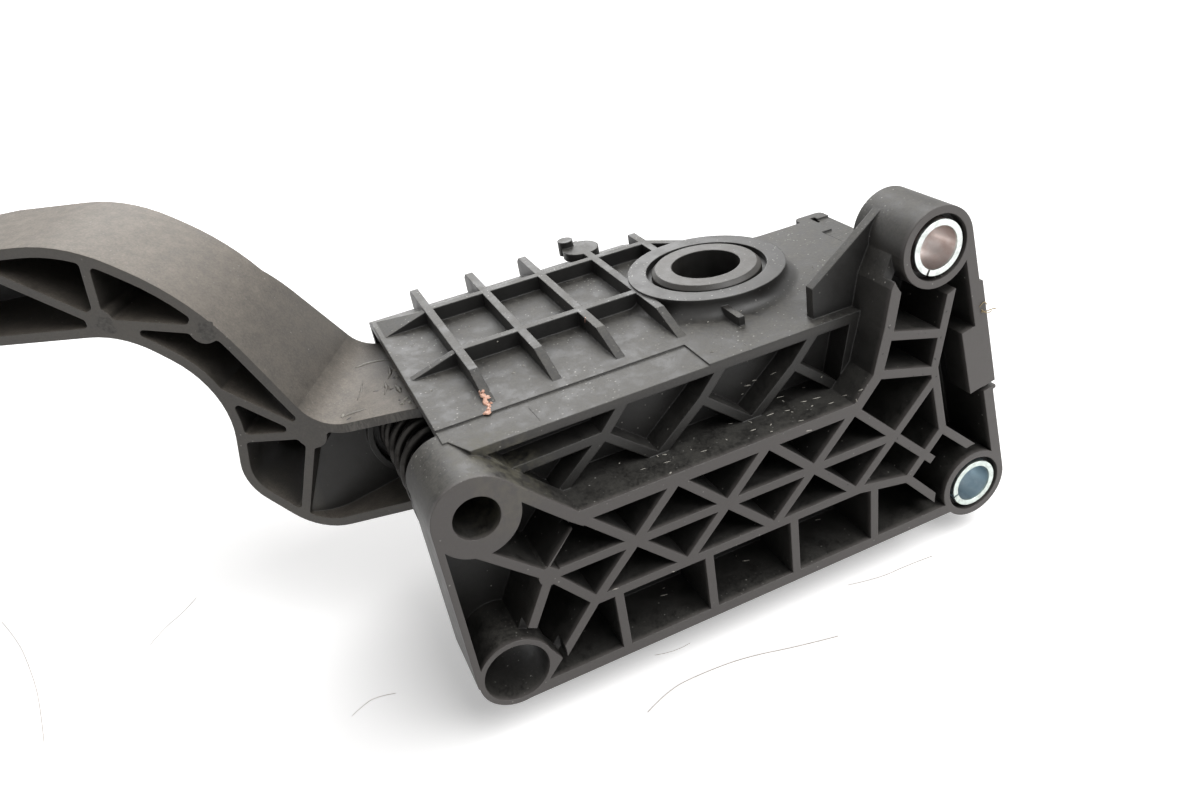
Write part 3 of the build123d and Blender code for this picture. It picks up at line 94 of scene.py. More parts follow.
class Look:
    """A material under construction, with short calls for its nodes."""

    def __init__(self, name):
        self.material = bpy.data.materials.new(name)
        self.material.use_nodes = True
        self.tree = self.material.node_tree
        self.tree.nodes.clear()
        self.out = self.node("ShaderNodeOutputMaterial")
        self.shader = self.node("ShaderNodeBsdfPrincipled")
        self.put(self.out.inputs[0], self.shader.outputs[0])
        self.place = self.node("ShaderNodeTexCoord").outputs["Object"]

    def node(self, kind, sockets=None, **settings):
        """A new node with its settings, and with a link or a value for each socket that is given."""
        made = self.tree.nodes.new(kind)
        for key, value in settings.items():
            setattr(made, key, value)
        for key, value in (sockets or {}).items():
            self.put(made.inputs[key], value)
        return made

    def put(self, socket, value):
        """Link a socket to another node's output, or give it a plain value. A colour comes without alpha."""
        if isinstance(value, bpy.types.NodeSocket):
            self.tree.links.new(value, socket)
        elif socket.type == "RGBA":
            socket.default_value = (*value, 1)
        else:
            socket.default_value = value

    def set(self, **sockets):
        """Link or set the shader's sockets, with an underscore for each space in their names."""
        for key, value in sockets.items():
            self.put(self.shader.inputs[key.replace("_", " ")], value)

    def noise(self, scale, detail=3.0, rough=0.55, stretch=None, twist=0.0):
        """Soft noise from 0 to 1, drawn out into streaks by a stretch along each axis."""
        place = self.place
        if stretch:
            sockets = {"Vector": place, "Scale": stretch, "Rotation": (0.3, 0.2, 0.4)}
            place = self.node("ShaderNodeMapping", sockets).outputs[0]
        sockets = {"Vector": place, "Scale": scale, "Detail": detail, "Roughness": rough, "Distortion": twist}
        return self.node("ShaderNodeTexNoise", sockets).outputs["Fac"]

    def specks(self, scale, size):
        """Round specks, one to a cell of the scale, with size as a share of the cell."""
        cells = self.node("ShaderNodeTexVoronoi", {"Vector": self.place, "Scale": scale})
        return self.span(cells.outputs["Distance"], size, size * 0.5)

    def span(self, value, low, high, out_low=0.0, out_high=1.0):
        """Map the range from low to high to the range from out_low to out_high, and hold the ends."""
        sockets = {"Value": value, "From Min": low, "From Max": high, "To Min": out_low, "To Max": out_high}
        return self.node("ShaderNodeMapRange", sockets).outputs[0]

    def math(self, how, a, b):
        """One step of arithmetic on two values."""
        return self.node("ShaderNodeMath", {0: a, 1: b}, operation=how).outputs[0]

    def times(self, a, b):
        """Product of two values."""
        return self.math("MULTIPLY", a, b)

    def plus(self, a, b):
        """Sum of two values."""
        return self.math("ADD", a, b)

    def mix(self, share, a, b):
        """Colour a with a share of colour b over it."""
        return self.node("ShaderNodeMix", {"Factor": share, 6: a, 7: b}, data_type="RGBA").outputs[2]

    def xyz(self):
        """The place on the surface along the three axes of the row frame."""
        return self.node("ShaderNodeSeparateXYZ", {0: self.place}).outputs

    def near(self, point, reach, soft=0.5):
        """1 close to a point, 0 beyond the reach."""
        distance = self.node("ShaderNodeVectorMath", {0: self.place, 1: point}, operation="DISTANCE")
        return self.span(distance.outputs["Value"], reach, reach * soft)

    def facing(self, way):
        """How far the surface faces a direction of the row frame, from 0 to 1."""
        normal = self.node("ShaderNodeNewGeometry").outputs["True Normal"]
        made = self.node("ShaderNodeVectorMath", {0: normal, 1: way}, operation="DOT_PRODUCT")
        return self.math("MAXIMUM", made.outputs["Value"], 0.0)

    def upward(self):
        """1 on faces that look up from the table in the photograph, which is +Y, and 0 on the rest."""
        normal = self.node("ShaderNodeTexCoord").outputs["Normal"]
        split = self.node("ShaderNodeSeparateXYZ", {0: normal})
        return self.span(split.outputs["Y"], 0.25, 0.9)

    def rounded(self, radius):
        """Normal that rounds sharp edges to a radius."""
        return self.node("ShaderNodeBevel", {"Radius": radius}, samples=6).outputs[0]

    def rubbed(self, rounded):
        """Mask of the sharp edges, where the rounded normal leaves the surface's own."""
        normal = self.node("ShaderNodeNewGeometry").outputs["Normal"]
        made = self.node("ShaderNodeVectorMath", {0: rounded, 1: normal}, operation="DOT_PRODUCT")
        return self.span(made.outputs["Value"], 0.97, 0.72)

    def sheltered(self, reach):
        """1 deep inside pockets and corners narrower than the reach, 0 on open faces."""
        made = self.node("ShaderNodeAmbientOcclusion", {"Distance": reach}, samples=4)
        return self.span(made.outputs["AO"], 0.85, 0.35)

    def bump(self, height, strength, distance, normal):
        """Normal with a fine relief on top of it."""
        sockets = {"Height": height, "Strength": strength, "Distance": distance, "Normal": normal}
        return self.node("ShaderNodeBump", sockets).outputs[0]


# Colours of the mouldings, as linear red, green and blue
# The plate and arm dust colours are lighter than dust alone: they also paint the sheen of the upper faces
plate_dust_and_sheen = (0.13, 0.124, 0.108)
arm_dust_and_sheen = (0.27, 0.235, 0.195)
bare_edge = (0.16, 0.152, 0.138)
# Painted shade for pockets and corners
deep_shade = (0.003, 0.0028, 0.0026)
fleck_pale = (0.5, 0.49, 0.45)

# The collar's face, which stays clear of the dust and of the painted sheen on the upper faces
collar_face = (0.037, 0.044, 0.063)
collar_clear = 0.019


def moulded(
    name, dark, pale, dust_and_sheen, dust_and_sheen_share=0.3, grain=1.0, marks=None, patchy=(0.78, 1.2), reach=0.014, flecked=1.0
):
    """Glass filled moulding: soft clouds, fine grain, dust with painted sheen on the upper faces, rubbed
    edges, painted shade in the pockets, pale flecks.

    The dust colour and its share on the upper faces also paint the sheen that these faces catch, patchy is
    the range of noise where they lie, grain makes the texture finer, reach is the width of the pockets that
    get painted shade, flecked the share of pale flecks, and marks a function that adds what only this
    moulding has.
    """
    look = Look(name)
    cloud = look.noise(34)
    mottle = look.noise(300 * grain, 4, 0.6)
    grit = look.noise(1700 * grain, 3, 0.65)
    tone = look.plus(look.times(cloud, 0.4), look.times(mottle, 0.32))
    tone = look.plus(tone, look.times(grit, 0.28))
    colour = look.mix(look.span(tone, 0.38, 0.62), dark, pale)

    # Dust on the upper faces, also painted sheen: these faces are made lighter as if lit from above
    dust_and_sheen_mask = look.times(look.upward(), look.span(look.plus(mottle, grit), *patchy))
    clear = look.near(collar_face, collar_clear, 0.9)
    dust_and_sheen_mask = look.times(dust_and_sheen_mask, look.span(clear, 0.0, 1.0, dust_and_sheen_share, 0.0))
    colour = look.mix(dust_and_sheen_mask, colour, dust_and_sheen)

    rounded = look.rounded(0.3 * mm)
    rubbed = look.times(look.rubbed(rounded), look.span(look.noise(240), 0.3, 0.65))
    colour = look.mix(look.times(rubbed, 0.25), colour, bare_edge)
    # Painted shade: pockets and corners narrower than the reach go dark by ambient occlusion
    shelter = look.sheltered(reach)
    colour = look.mix(look.times(shelter, 0.78), colour, deep_shade)

    fleck = look.times(look.specks(520, 0.1), look.span(look.noise(75, 2), 0.46, 0.58))
    fine = look.times(look.specks(1000, 0.2), look.span(look.noise(110), 0.45, 0.62))
    fine = look.times(fine, look.math("SUBTRACT", look.upward(), shelter))
    fine = look.math("MAXIMUM", fine, 0.0)
    fleck = look.math("MAXIMUM", look.times(fleck, 0.7 * flecked), look.times(fine, 0.65 * flecked))
    colour = look.mix(fleck, colour, fleck_pale)

    rough = look.span(look.plus(mottle, dust_and_sheen_mask), 0.3, 0.9, 0.42, 0.6)
    height = look.plus(look.times(mottle, 0.35), look.times(grit, 0.65))
    if marks:
        colour, rough, height = marks(look, colour, rough, height)
    normal = look.bump(height, 0.3, 0.1 * mm, rounded)
    look.set(Base_Color=colour, Roughness=rough, Normal=normal, IOR=1.5)
    return look.material


def housing_marks(look, colour, rough, height):
    """Painted light on the mounting face's rims, painted shade in the recess and on the grid's walls, and a
    greasy film between locating boss and plate.
    """
    place = look.xyz()
    x, y, z = place["X"], place["Y"], place["Z"]
    # Painted light: the rims of the mounting face, within about a millimetre of X = 0, are made paler
    rim_light = look.span(x, 1.2 * mm, 0.4 * mm, 0.0, 0.6)
    colour = look.mix(rim_light, colour, (0.092, 0.083, 0.079))

    # Painted shade: the recess behind the mounting face is darkened
    recess_shade = look.times(look.span(y, 41 * mm, 40 * mm), look.span(z, 9 * mm, 13 * mm))
    recess_shade = look.times(recess_shade, look.span(z, 80 * mm, 76 * mm))
    recess_shade = look.times(recess_shade, look.span(x, 0.5 * mm, 1.2 * mm, 0.0, 0.45))
    colour = look.mix(recess_shade, colour, (0.005, 0.0047, 0.0043))

    # Painted shade on the walls of the plate's grid that face -X
    grid_wall_shade = look.times(look.span(y, 41.5 * mm, 42.2 * mm), look.facing((-1.0, 0.0, 0.0)))
    grid_wall_shade = look.times(grid_wall_shade, look.span(x, 3 * mm, 6 * mm, 0.0, 0.75))
    colour = look.mix(grid_wall_shade, colour, (0.004, 0.0038, 0.0035))

    film_centre = (0.006, 0.036, 0.006)
    ragged = look.span(look.noise(420, 4, 0.65), 0.4, 0.62)
    film = look.times(look.near(film_centre, 11 * mm, 0.3), ragged)
    colour = look.mix(look.times(film, 0.45), colour, (0.16, 0.15, 0.105))
    rough = look.plus(rough, look.times(film, 0.1))
    return colour, rough, height


def arm_marks(look, colour, rough, height):
    """Painted shade on the pocket floors behind the ribbed face, and the rubbed and chewed patch on the neck.
    """
    ribbed_side = (-0.866, 0.0, -0.5)
    place = look.xyz()
    depth = look.plus(look.times(place["X"], -ribbed_side[0]), look.times(place["Z"], -ribbed_side[2]))
    # Painted shade: the pocket floors behind the ribbed face are darkened
    pocket_floor_shade = look.times(look.span(depth, 28.5 * mm, 29.5 * mm, 0.0, 0.85), look.facing(ribbed_side))
    colour = look.mix(pocket_floor_shade, colour, (0.004, 0.0038, 0.0034))

    neck_middle = (0.034, 0.0375, -0.009)
    streak = look.noise(190, 5, 0.7, stretch=(1.0, 1.0, 3.5), twist=1.2)
    patch = look.near(neck_middle, 12.5 * mm, 0.35)
    worn = look.times(patch, look.span(streak, 0.47, 0.62))
    colour = look.mix(look.times(worn, 0.4), colour, (0.2, 0.188, 0.165))
    height = look.math("SUBTRACT", height, look.times(worn, 0.9))
    rough = look.plus(rough, look.times(worn, 0.1))
    return colour, rough, height


def metal(name, colour, rough, tarnish, shade, grain=(1.0, 1.0, 8.0), bright=None):
    """Plated or oiled steel with fine turning lines and dull patches.

    tarnish is the share of shade in the patches, and bright the colour of an end in the mounting face.
    """
    look = Look(name)
    lines = look.noise(700, 3, 0.6, stretch=grain)
    patch = look.span(look.noise(260, 4, 0.65), 0.45, 0.65)
    tint = look.mix(look.times(patch, tarnish), colour, shade)
    if bright:
        pits = look.span(look.noise(900, 4, 0.7), 0.42, 0.62)
        ring = look.mix(look.times(pits, 0.45), bright, (0.3, 0.32, 0.3))
        tint = look.mix(look.span(look.xyz()["X"], 0.6 * mm, 0.3 * mm), tint, ring)
    dull = look.span(look.plus(lines, patch), 0.4, 1.4, rough, rough + 0.2)
    normal = look.bump(lines, 0.12, 0.05 * mm, look.rounded(0.2 * mm))
    look.set(Base_Color=tint, Roughness=dull, Normal=normal, Metallic=1.0)
    return look.material


def plain(name, colour, shade, rough, scale=500, bump=0.1, metallic=0.0):
    """Small pieces: two tones of one colour and a fine relief."""
    look = Look(name)
    tone = look.noise(scale, 4, 0.6)
    tint = look.mix(look.span(tone, 0.35, 0.65), colour, shade)
    dull = look.span(tone, 0.3, 0.7, rough - 0.06, rough + 0.08)
    normal = look.bump(tone, bump, 0.05 * mm, look.rounded(0.15 * mm))
    look.set(Base_Color=tint, Roughness=dull, Normal=normal, Metallic=metallic)
    return look.material


# Finish of each CAD node
box_dark = (0.017, 0.016, 0.0145)
box_pale = (0.04, 0.0375, 0.034)
bearing_dark = (0.02, 0.02, 0.019)
bearing_pale = (0.035, 0.034, 0.032)
black = (0.02, 0.02, 0.02)
soot = (0.035, 0.035, 0.035)
finish = {
    "pedal_housing": moulded(
        "housing_finish", box_dark, box_pale, plate_dust_and_sheen, dust_and_sheen_share=0.5, marks=housing_marks
    ),
    "pedal_arm": moulded(
        "arm_finish", (0.036, 0.032, 0.0275), (0.068, 0.061, 0.052), arm_dust_and_sheen,
        dust_and_sheen_share=1.0, grain=1.3, marks=arm_marks, patchy=(0.3, 1.5), reach=0.032, flecked=0.35,
    ),
    "side_cover": moulded("cover_finish", box_dark, box_pale, plate_dust_and_sheen),
    "sensor_lid": moulded("lid_finish", (0.017, 0.016, 0.015), (0.038, 0.036, 0.033), plate_dust_and_sheen, grain=1.2),
    "friction_lever": moulded(
        "lever_finish", (0.022, 0.022, 0.023), (0.04, 0.04, 0.042), plate_dust_and_sheen, dust_and_sheen_share=0.1, grain=1.1
    ),
    "collar_bush": plain("collar_bush_finish", bearing_dark, bearing_pale, 0.5),
    "cover_bush": plain("cover_bush_finish", bearing_dark, bearing_pale, 0.5),
    "right_fixing_bush": metal(
        "right_bush_finish", (0.6, 0.55, 0.53), 0.3, 0.6, (0.5, 0.38, 0.34), bright=(0.7, 0.74, 0.72)
    ),
    "left_fixing_bush": metal(
        "left_bush_finish", (0.56, 0.64, 0.68), 0.3, 0.55, (0.34, 0.46, 0.54), bright=(0.66, 0.73, 0.69)
    ),
    "lid_screws": metal("screw_finish", (0.55, 0.55, 0.56), 0.3, 0.4, (0.38, 0.37, 0.35)),
    "lid_seal": plain("seal_finish", black, soot, 0.7),
    "sensor_board": plain("board_finish", (0.012, 0.09, 0.035), (0.02, 0.14, 0.055), 0.35, scale=900),
    "hall_sensors": plain("chip_finish", black, soot, 0.5),
    "board_capacitors": plain("capacitor_finish", (0.42, 0.3, 0.17), (0.5, 0.38, 0.24), 0.4),
    "connector_pins": plain(
        "pin_finish", (0.62, 0.6, 0.52), (0.5, 0.48, 0.42), 0.28, scale=700, metallic=1.0
    ),
    "magnet_carrier": plain("carrier_finish", (0.04, 0.04, 0.042), (0.06, 0.06, 0.065), 0.5),
    "rotor_magnets": plain(
        "magnet_finish", (0.07, 0.07, 0.075), (0.1, 0.1, 0.11), 0.45, scale=900, bump=0.2, metallic=0.6
    ),
    "flux_ring": metal("ring_finish", (0.45, 0.44, 0.42), 0.35, 0.5, (0.3, 0.27, 0.24)),
}
# Dark steel, made darker still to paint the shade that the springs sit in
spring_steel_and_shade = metal(
    "spring_steel_and_shade", (0.035, 0.033, 0.031), 0.4, 0.7, (0.014, 0.013, 0.012), grain=(1.0, 1.0, 1.0)
)


def dress(thing, material):
    """Give every slot of an object one material."""
    if not thing.material_slots:
        thing.data.materials.append(material)
    for place in thing.material_slots:
        place.link = "OBJECT"
        place.material = material


for node, material in finish.items():
    dress(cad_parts[node], material)


def skin(mesh, rings):
    """Close a row of rings of vertices into a solid with a face at each end."""
    for a, b in zip(rings, rings[1:]):
        for k in range(len(a)):
            after = (k + 1) % len(a)
            mesh.faces.new((a[k], a[after], b[after], b[k]))
    mesh.faces.new(rings[-1])
    mesh.faces.new(list(reversed(rings[0])))


def finished(name, mesh):
    """Turn a built shape into mesh data with its faces outwards."""
    bmesh.ops.recalc_face_normals(mesh, faces=mesh.faces)
    made = bpy.data.meshes.new(name)
    mesh.to_mesh(made)
    mesh.free()
    return made


def piece(name, mesh, body, slot_name, material, smooth=True):
    """A new object that rides on a CAD body."""
    thing = bpy.data.objects.new(name, mesh)
    bpy.context.collection.objects.link(thing)
    for face in mesh.polygons:
        face.use_smooth = smooth
    mesh.materials.append(material)
    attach(thing, body)
    return thing


# Return springs, between the lever's seat and the arm's
spring_axis = Vector((0.0, 0.0278, 0.001))
seat_x = 0.0183
arm_seat_x = 0.046
end_gap = 0.1 * mm
steps_a_turn = 36
wire_sides = 10
closed_turns = 0.9


def spring_mesh(name, mean_r, wire_r, turns):
    """Coil with closed ends: a ring of points round the wire follows the helix."""
    mesh = bmesh.new()
    all_turns = turns + 2 * closed_turns
    steps = int(all_turns * steps_a_turn)
    low = seat_x + wire_r + end_gap
    high = arm_seat_x - wire_r - end_gap
    closed_pitch = 2.1 * wire_r
    rings = []
    for k in range(steps + 1):
        turned = k / steps * all_turns
        if turned < closed_turns:
            x = low + closed_pitch * turned * turned / (2 * closed_turns)
        elif turned > turns + closed_turns:
            left = all_turns - turned
            x = high - closed_pitch * left * left / (2 * closed_turns)
        else:
            rise = high - low - closed_pitch * closed_turns
            x = low + closed_pitch * closed_turns / 2 + (turned - closed_turns) / turns * rise
        angle = 2 * math.pi * turned
        out = Vector((0, math.cos(angle), math.sin(angle)))
        centre = spring_axis + Vector((x, 0, 0)) + out * mean_r
        ring = []
        for side in range(wire_sides):
            around = 2 * math.pi * side / wire_sides
            outward = out * (wire_r * math.cos(around))
            endward = Vector((wire_r * math.sin(around), 0, 0))
            ring.append(mesh.verts.new(centre + outward + endward))
        rings.append(ring)
    skin(mesh, rings)
    return finished(name, mesh)


# Mean radius, wire radius and free turns of each spring
coils = (
    ("outer_return_spring", 7.3 * mm, 0.85 * mm, 5.6),
    ("inner_return_spring", 4.6 * mm, 0.6 * mm, 7.4),
)
for node, mean_r, wire_r, turns in coils:
    coil = spring_mesh(node, mean_r, wire_r, turns)
    spring = piece(f"{node}_wire", coil, "housing", "spring_wire", spring_steel_and_shade)
    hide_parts(node)
    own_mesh(spring)


# Marks, crumbs and fibres, placed by the pixel where the photograph shows them
bodies = {"pedal_housing": ("housing", "housing_plastic"), "pedal_arm": ("arm", "arm_plastic")}
skins = {}
for node in bodies:
    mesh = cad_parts[node].data
    places = [vertex.co for vertex in mesh.vertices]
    skins[node] = BVHTree.FromPolygons(places, [list(face.vertices) for face in mesh.polygons])
sink = 0.03 * mm


def seen(px, py, node):
    """The point of a node's surface that lies at a pixel, with its normal."""
    place, normal = skins[node].ray_cast(camera_place, sight(px, py).normalized())[:2]
    if place is None:
        raise SystemExit(f"no surface of {node} at pixel {px}, {py}")
    return place, normal


def flake(name, node, pixel, size, angle, seed, material, thick):
    """Thin ragged chip lying on a surface: length, width and thickness in millimetres, angle in degrees."""
    corners = 14
    mean_reach = 0.75
    ragged = 0.45
    top_share = 0.62
    place, normal = seen(*pixel, node)
    along = normal.orthogonal().normalized()
    along.rotate(Matrix.Rotation(math.radians(angle), 3, normal))
    across = normal.cross(along)
    mesh = bmesh.new()
    rim = []
    top = []
    for k in range(corners):
        turn = 2 * math.pi * k / corners
        draw = Vector((math.cos(turn) * 1.7, math.sin(turn) * 1.7, seed))
        swell = mean_reach + ragged * noise.noise(draw)
        flat = along * (math.cos(turn) * size[0] * swell) + across * (math.sin(turn) * size[1] * swell)
        rim.append(mesh.verts.new(place + flat * half_mm - normal * sink))
    for k, corner in enumerate(rim):
        rise = thick * mm * (0.7 + 0.3 * (k % 3))
        top.append(mesh.verts.new(place.lerp(corner.co, top_share) + normal * rise))
    skin(mesh, [rim, top])
    return piece(name, finished(name, mesh), *bodies[node], material, smooth=False)


def bead(name, node, pixels, width, height, material):
    """Low ridge or hairline that follows the surface under a line of pixels, sizes in millimetres."""
    steps = 6
    blunt = 0.04
    crest = 0.35
    places = []
    for (ax, ay), (bx, by) in zip(pixels, pixels[1:]):
        for k in range(steps):
            places.append(seen(ax + (bx - ax) * k / steps, ay + (by - ay) * k / steps, node))
    places.append(seen(*pixels[-1], node))
    last = len(places) - 1
    mesh = bmesh.new()
    rows = []
    for k, (place, normal) in enumerate(places):
        ahead = places[min(k + 1, last)][0] - places[max(k - 1, 0)][0]
        side = normal.cross(ahead).normalized()
        taper = math.sin(math.pi * min(max(k / last, blunt), 1 - blunt)) ** 0.5
        wide = width * half_mm * taper * (0.8 + 0.4 * noise.noise(place * 900))
        tall = height * mm * taper * (0.8 + 0.5 * noise.noise(place * 700))
        foot = normal * sink
        rows.append([mesh.verts.new(corner) for corner in (
            place - side * wide - foot, place - side * wide * crest + normal * tall,
            place + side * wide * crest + normal * tall, place + side * wide - foot,
        )])
    skin(mesh, rows)
    return piece(name, finished(name, mesh), *bodies[node], material)


def thread(name, points, thick, fineness, material):
    """Thin round curve near a row of points, with its thickness in millimetres."""
    curve = bpy.data.curves.new(name, "CURVE")
    curve.dimensions = "3D"
    curve.bevel_depth = thick * half_mm
    curve.bevel_resolution = 1
    curve.resolution_u = fineness
    curve.materials.append(material)
    spline = curve.splines.new("NURBS")
    spline.points.add(len(points) - 1)
    for knot, point in zip(spline.points, points):
        knot.co = (*point, 1)
    spline.order_u = 3
    spline.use_endpoint_u = True
    thing = bpy.data.objects.new(name, curve)
    bpy.context.collection.objects.link(thing)
    return thing


# Finishes of the marks
copper = plain("copper_residue", (0.78, 0.5, 0.38), (0.6, 0.32, 0.23), 0.5, 1500, 0.4)
chalk = plain("pale_crumb", (0.5, 0.48, 0.43), (0.36, 0.34, 0.3), 0.7, 1500, 0.4)
scar = plain("dark_scar", (0.012, 0.011, 0.01), (0.022, 0.02, 0.019), 0.5, 1500, 0.3)
burr = plain("raised_burr", (0.2, 0.185, 0.16), (0.13, 0.12, 0.105), 0.55, 1500, 0.5)
pitted = plain("pitted_face", (0.075, 0.07, 0.063), (0.045, 0.042, 0.038), 0.7, 1400, 0.8)
straw = plain("straw_fibre", (0.4, 0.31, 0.16), (0.3, 0.22, 0.11), 0.6, 1500, 0.2)

# Copper coloured residue and streak, and a hairline, on the plate. A mark has its pixel, size and angle
copper_marks = (
    ((480.5, 393.5), (2.0, 1.2), 20), ((483.5, 396.0), (2.1, 1.3), 70), ((487.0, 397.5), (1.8, 1.2), 110),
    ((485.5, 401.5), (2.2, 1.5), 30), ((488.0, 405.0), (2.2, 1.3), 60), ((488.5, 409.0), (2.0, 1.2), 20),
    ((487.5, 412.5), (2.3, 1.4), 150), ((483.0, 391.5), (1.2, 0.7), 10), ((491.0, 403.0), (1.0, 0.7), 80),
)
copper_streak = ((585.4, 317.0), (585.0, 323.0))
plate_hairline = ((528.0, 407.0), (534.0, 413.5), (540.5, 421.0))
for k, (pixel, size, angle) in enumerate(copper_marks):
    flake(f"copper_residue_{k + 1}", "pedal_housing", pixel, size, angle, 3.1 * k, copper, thick=0.2)
bead("copper_streak", "pedal_housing", copper_streak, width=0.5, height=0.12, material=copper)
bead("plate_hairline", "pedal_housing", plate_hairline, width=0.28, height=0.03, material=scar)

# Torn skin on the arm's neck. A crease has its pixels, width and height
neck_creases = (
    (((355.0, 368.0), (366.0, 363.5), (377.0, 361.0), (390.0, 359.5)), 1.3, 0.1),
    (((389.0, 366.0), (390.5, 373.0), (388.0, 379.0)), 1.2, 0.22),
    (((384.0, 381.0), (386.5, 388.0), (384.5, 395.0)), 1.0, 0.16),
    (((394.5, 385.0), (398.5, 388.5), (401.0, 393.0)), 1.2, 0.2),
    (((363.0, 380.0), (361.0, 391.0), (357.0, 401.0)), 0.7, 0.05),
    (((341.0, 417.5), (352.0, 413.0), (366.0, 409.0)), 1.4, 0.12),
)
neck_dents = (
    ((393.5, 378.0), (2.8, 0.8), 60), ((376.0, 391.0), (2.4, 0.5), 100), ((399.5, 400.0), (1.8, 0.7), 40),
    ((349.0, 418.5), (2.0, 0.7), 160),
)
neck_crumbs = (
    ((406.0, 399.0), (2.0, 1.1), 0), ((409.5, 402.5), (1.6, 1.0), 50), ((395.5, 370.0), (2.4, 0.8), 90),
    ((397.0, 377.5), (1.8, 0.8), 40), ((343.0, 416.0), (1.6, 0.8), 20), ((402.5, 404.0), (1.2, 0.7), 100),
)
for k, (pixels, width, height) in enumerate(neck_creases):
    bead(f"neck_crease_{k + 1}", "pedal_arm", pixels, width, height, burr)
for k, (pixel, size, angle) in enumerate(neck_dents):
    flake(f"neck_dent_{k + 1}", "pedal_arm", pixel, size, angle, 1.7 * k, scar, thick=0.05)
for k, (pixel, size, angle) in enumerate(neck_crumbs):
    flake(f"neck_crumb_{k + 1}", "pedal_arm", pixel, size, angle, 2.3 * k, chalk, thick=0.22)

# Pitted faces of the ejector marks on the arm's ribs
ejector_pixels = ((106.0, 326.0), (205.5, 332.0))
ejector_size = (5.6, 5.4)
for k, pixel in enumerate(ejector_pixels):
    flake(f"ejector_face_{k + 1}", "pedal_arm", pixel, ejector_size, 0, 0.4 * k, pitted, thick=0.06)

# Chips on the flange's ribs and pale crumbs: pixel right and down, length and width
rib_chips = (
    (946.7, 311.5, 0.9, 0.5), (941.0, 337.5, 0.9, 0.5), (935.5, 359.0, 1.0, 0.5), (918.6, 334.0, 0.5, 0.3),
    (925.3, 333.0, 0.5, 0.3), (913.6, 376.0, 0.6, 0.3), (922.9, 374.3, 0.6, 0.3), (889.3, 327.5, 1.0, 0.5),
    (883.0, 354.0, 0.9, 0.4), (936.5, 376.5, 0.8, 0.4), (909.5, 448.0, 0.5, 0.4), (897.5, 438.5, 1.0, 0.3),
    (829.0, 474.0, 0.7, 0.4), (848.0, 484.5, 0.6, 0.4),
)
pale_crumbs = (
    (619.5, 463.0, 0.8, 0.3), (657.5, 456.0, 1.2, 0.3), (664.5, 454.6, 1.3, 0.3),
    (670.5, 473.0, 0.8, 0.4), (691.0, 449.5, 0.6, 0.3), (726.0, 439.5, 0.8, 0.3),
    (664.0, 588.0, 1.0, 0.2), (736.0, 556.0, 1.0, 0.2), (750.0, 422.0, 1.3, 0.3),
    (771.5, 431.5, 1.0, 0.3), (771.0, 424.5, 0.9, 0.3), (783.0, 401.0, 1.2, 0.3),
    (803.5, 387.5, 0.9, 0.3), (812.0, 406.0, 0.8, 0.3), (856.5, 400.5, 0.9, 0.4),
    (792.0, 412.0, 0.7, 0.3), (742.5, 394.0, 0.6, 0.2), (821.5, 377.0, 0.6, 0.2),
    (523.5, 365.5, 0.7, 0.5), (514.0, 373.0, 0.8, 0.4), (469.0, 326.5, 0.5, 0.4),
    (497.5, 341.5, 0.5, 0.4), (446.0, 300.5, 0.6, 0.4), (552.0, 318.0, 0.5, 0.3),
    (431.5, 390.5, 0.5, 0.4), (812.5, 267.0, 0.5, 0.3), (741.0, 311.0, 0.5, 0.4),
    (708.0, 322.0, 0.6, 0.3), (745.0, 344.0, 0.9, 0.2), (712.0, 352.0, 1.0, 0.2),
    (768.0, 336.5, 0.9, 0.2), (692.0, 333.0, 0.7, 0.3),
)
for k, (px, py, long, wide) in enumerate(rib_chips):
    flake(f"rib_chip_{k + 1}", "pedal_housing", (px, py), (long, wide), 37 * k, 1.3 * k, scar, thick=0.04)
for k, (px, py, long, wide) in enumerate(pale_crumbs):
    flake(f"pale_crumb_{k + 1}", "pedal_housing", (px, py), (long, wide), 53 * k, 0.9 * k, chalk, thick=0.1)

# Pale scratches: first pixel, and the pixels run to the right and climbed from there
pale_scratches = (
    (744, 386, 7, 1), (752, 381, 5, 1), (776, 398, 8, 2), (784, 411, 6, 1), (800, 402, 7, 1),
    (812, 399, 9, 2), (798, 421, 6, 1), (828, 404, 6, 2), (842, 396, 5, 1), (766, 416, 8, 3),
    (750, 431, 6, 2), (728, 424, 5, 1), (770, 375, 6, 3), (806, 431, 6, 1), (858, 391, 5, 2),
    (612, 590, 7, 2), (660, 596, 8, 2), (742, 561, 8, 1), (672, 572, 5, 1), (815, 520, 6, 1),
    (700, 452, 7, 2), (663, 463, 8, 2), (640, 470, 6, 2),
)
for k, (px, py, run, climb) in enumerate(pale_scratches):
    scratch = ((px, py), (px + run, py - climb))
    bead(f"pale_scratch_{k + 1}", "pedal_housing", scratch, width=0.4, height=0.05, material=chalk)


def fibre(name, pixel, steps, thick):
    """Loose fibre that is caught on the upper edge: steps run right and up in the view, in millimetres."""
    toward_camera = 0.4
    place = seen(*pixel, "pedal_housing")[0]
    points = [place] + [place + (right * x + up * y - forward * toward_camera) * mm for x, y in steps]
    thing = thread(name, points, thick, 6, straw)
    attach(thing, "housing")


# Fibres on the edge strip: pixel, steps and thickness
edge_fibres = (
    ((981.0, 312.0), ((0.9, 0.1), (1.6, 0.5), (2.6, 0.7)), 0.2),
    ((981.5, 309.5), ((0.4, -0.6), (1.2, -0.7), (1.7, -0.2)), 0.17),
    ((979.5, 307.0), ((0.4, 0.7), (0.9, 1.0), (1.2, 0.4)), 0.16),
)
for k, (pixel, steps, thick) in enumerate(edge_fibres):
    fibre(f"straw_fibre_{k + 1}", pixel, steps, thick)


# Table and backdrop
table_y = cad_low[1] - 0.2 * mm
table_half = 3.0
glow_centre = (0.03, 0.0, 0.03)
glow_reach = 0.6


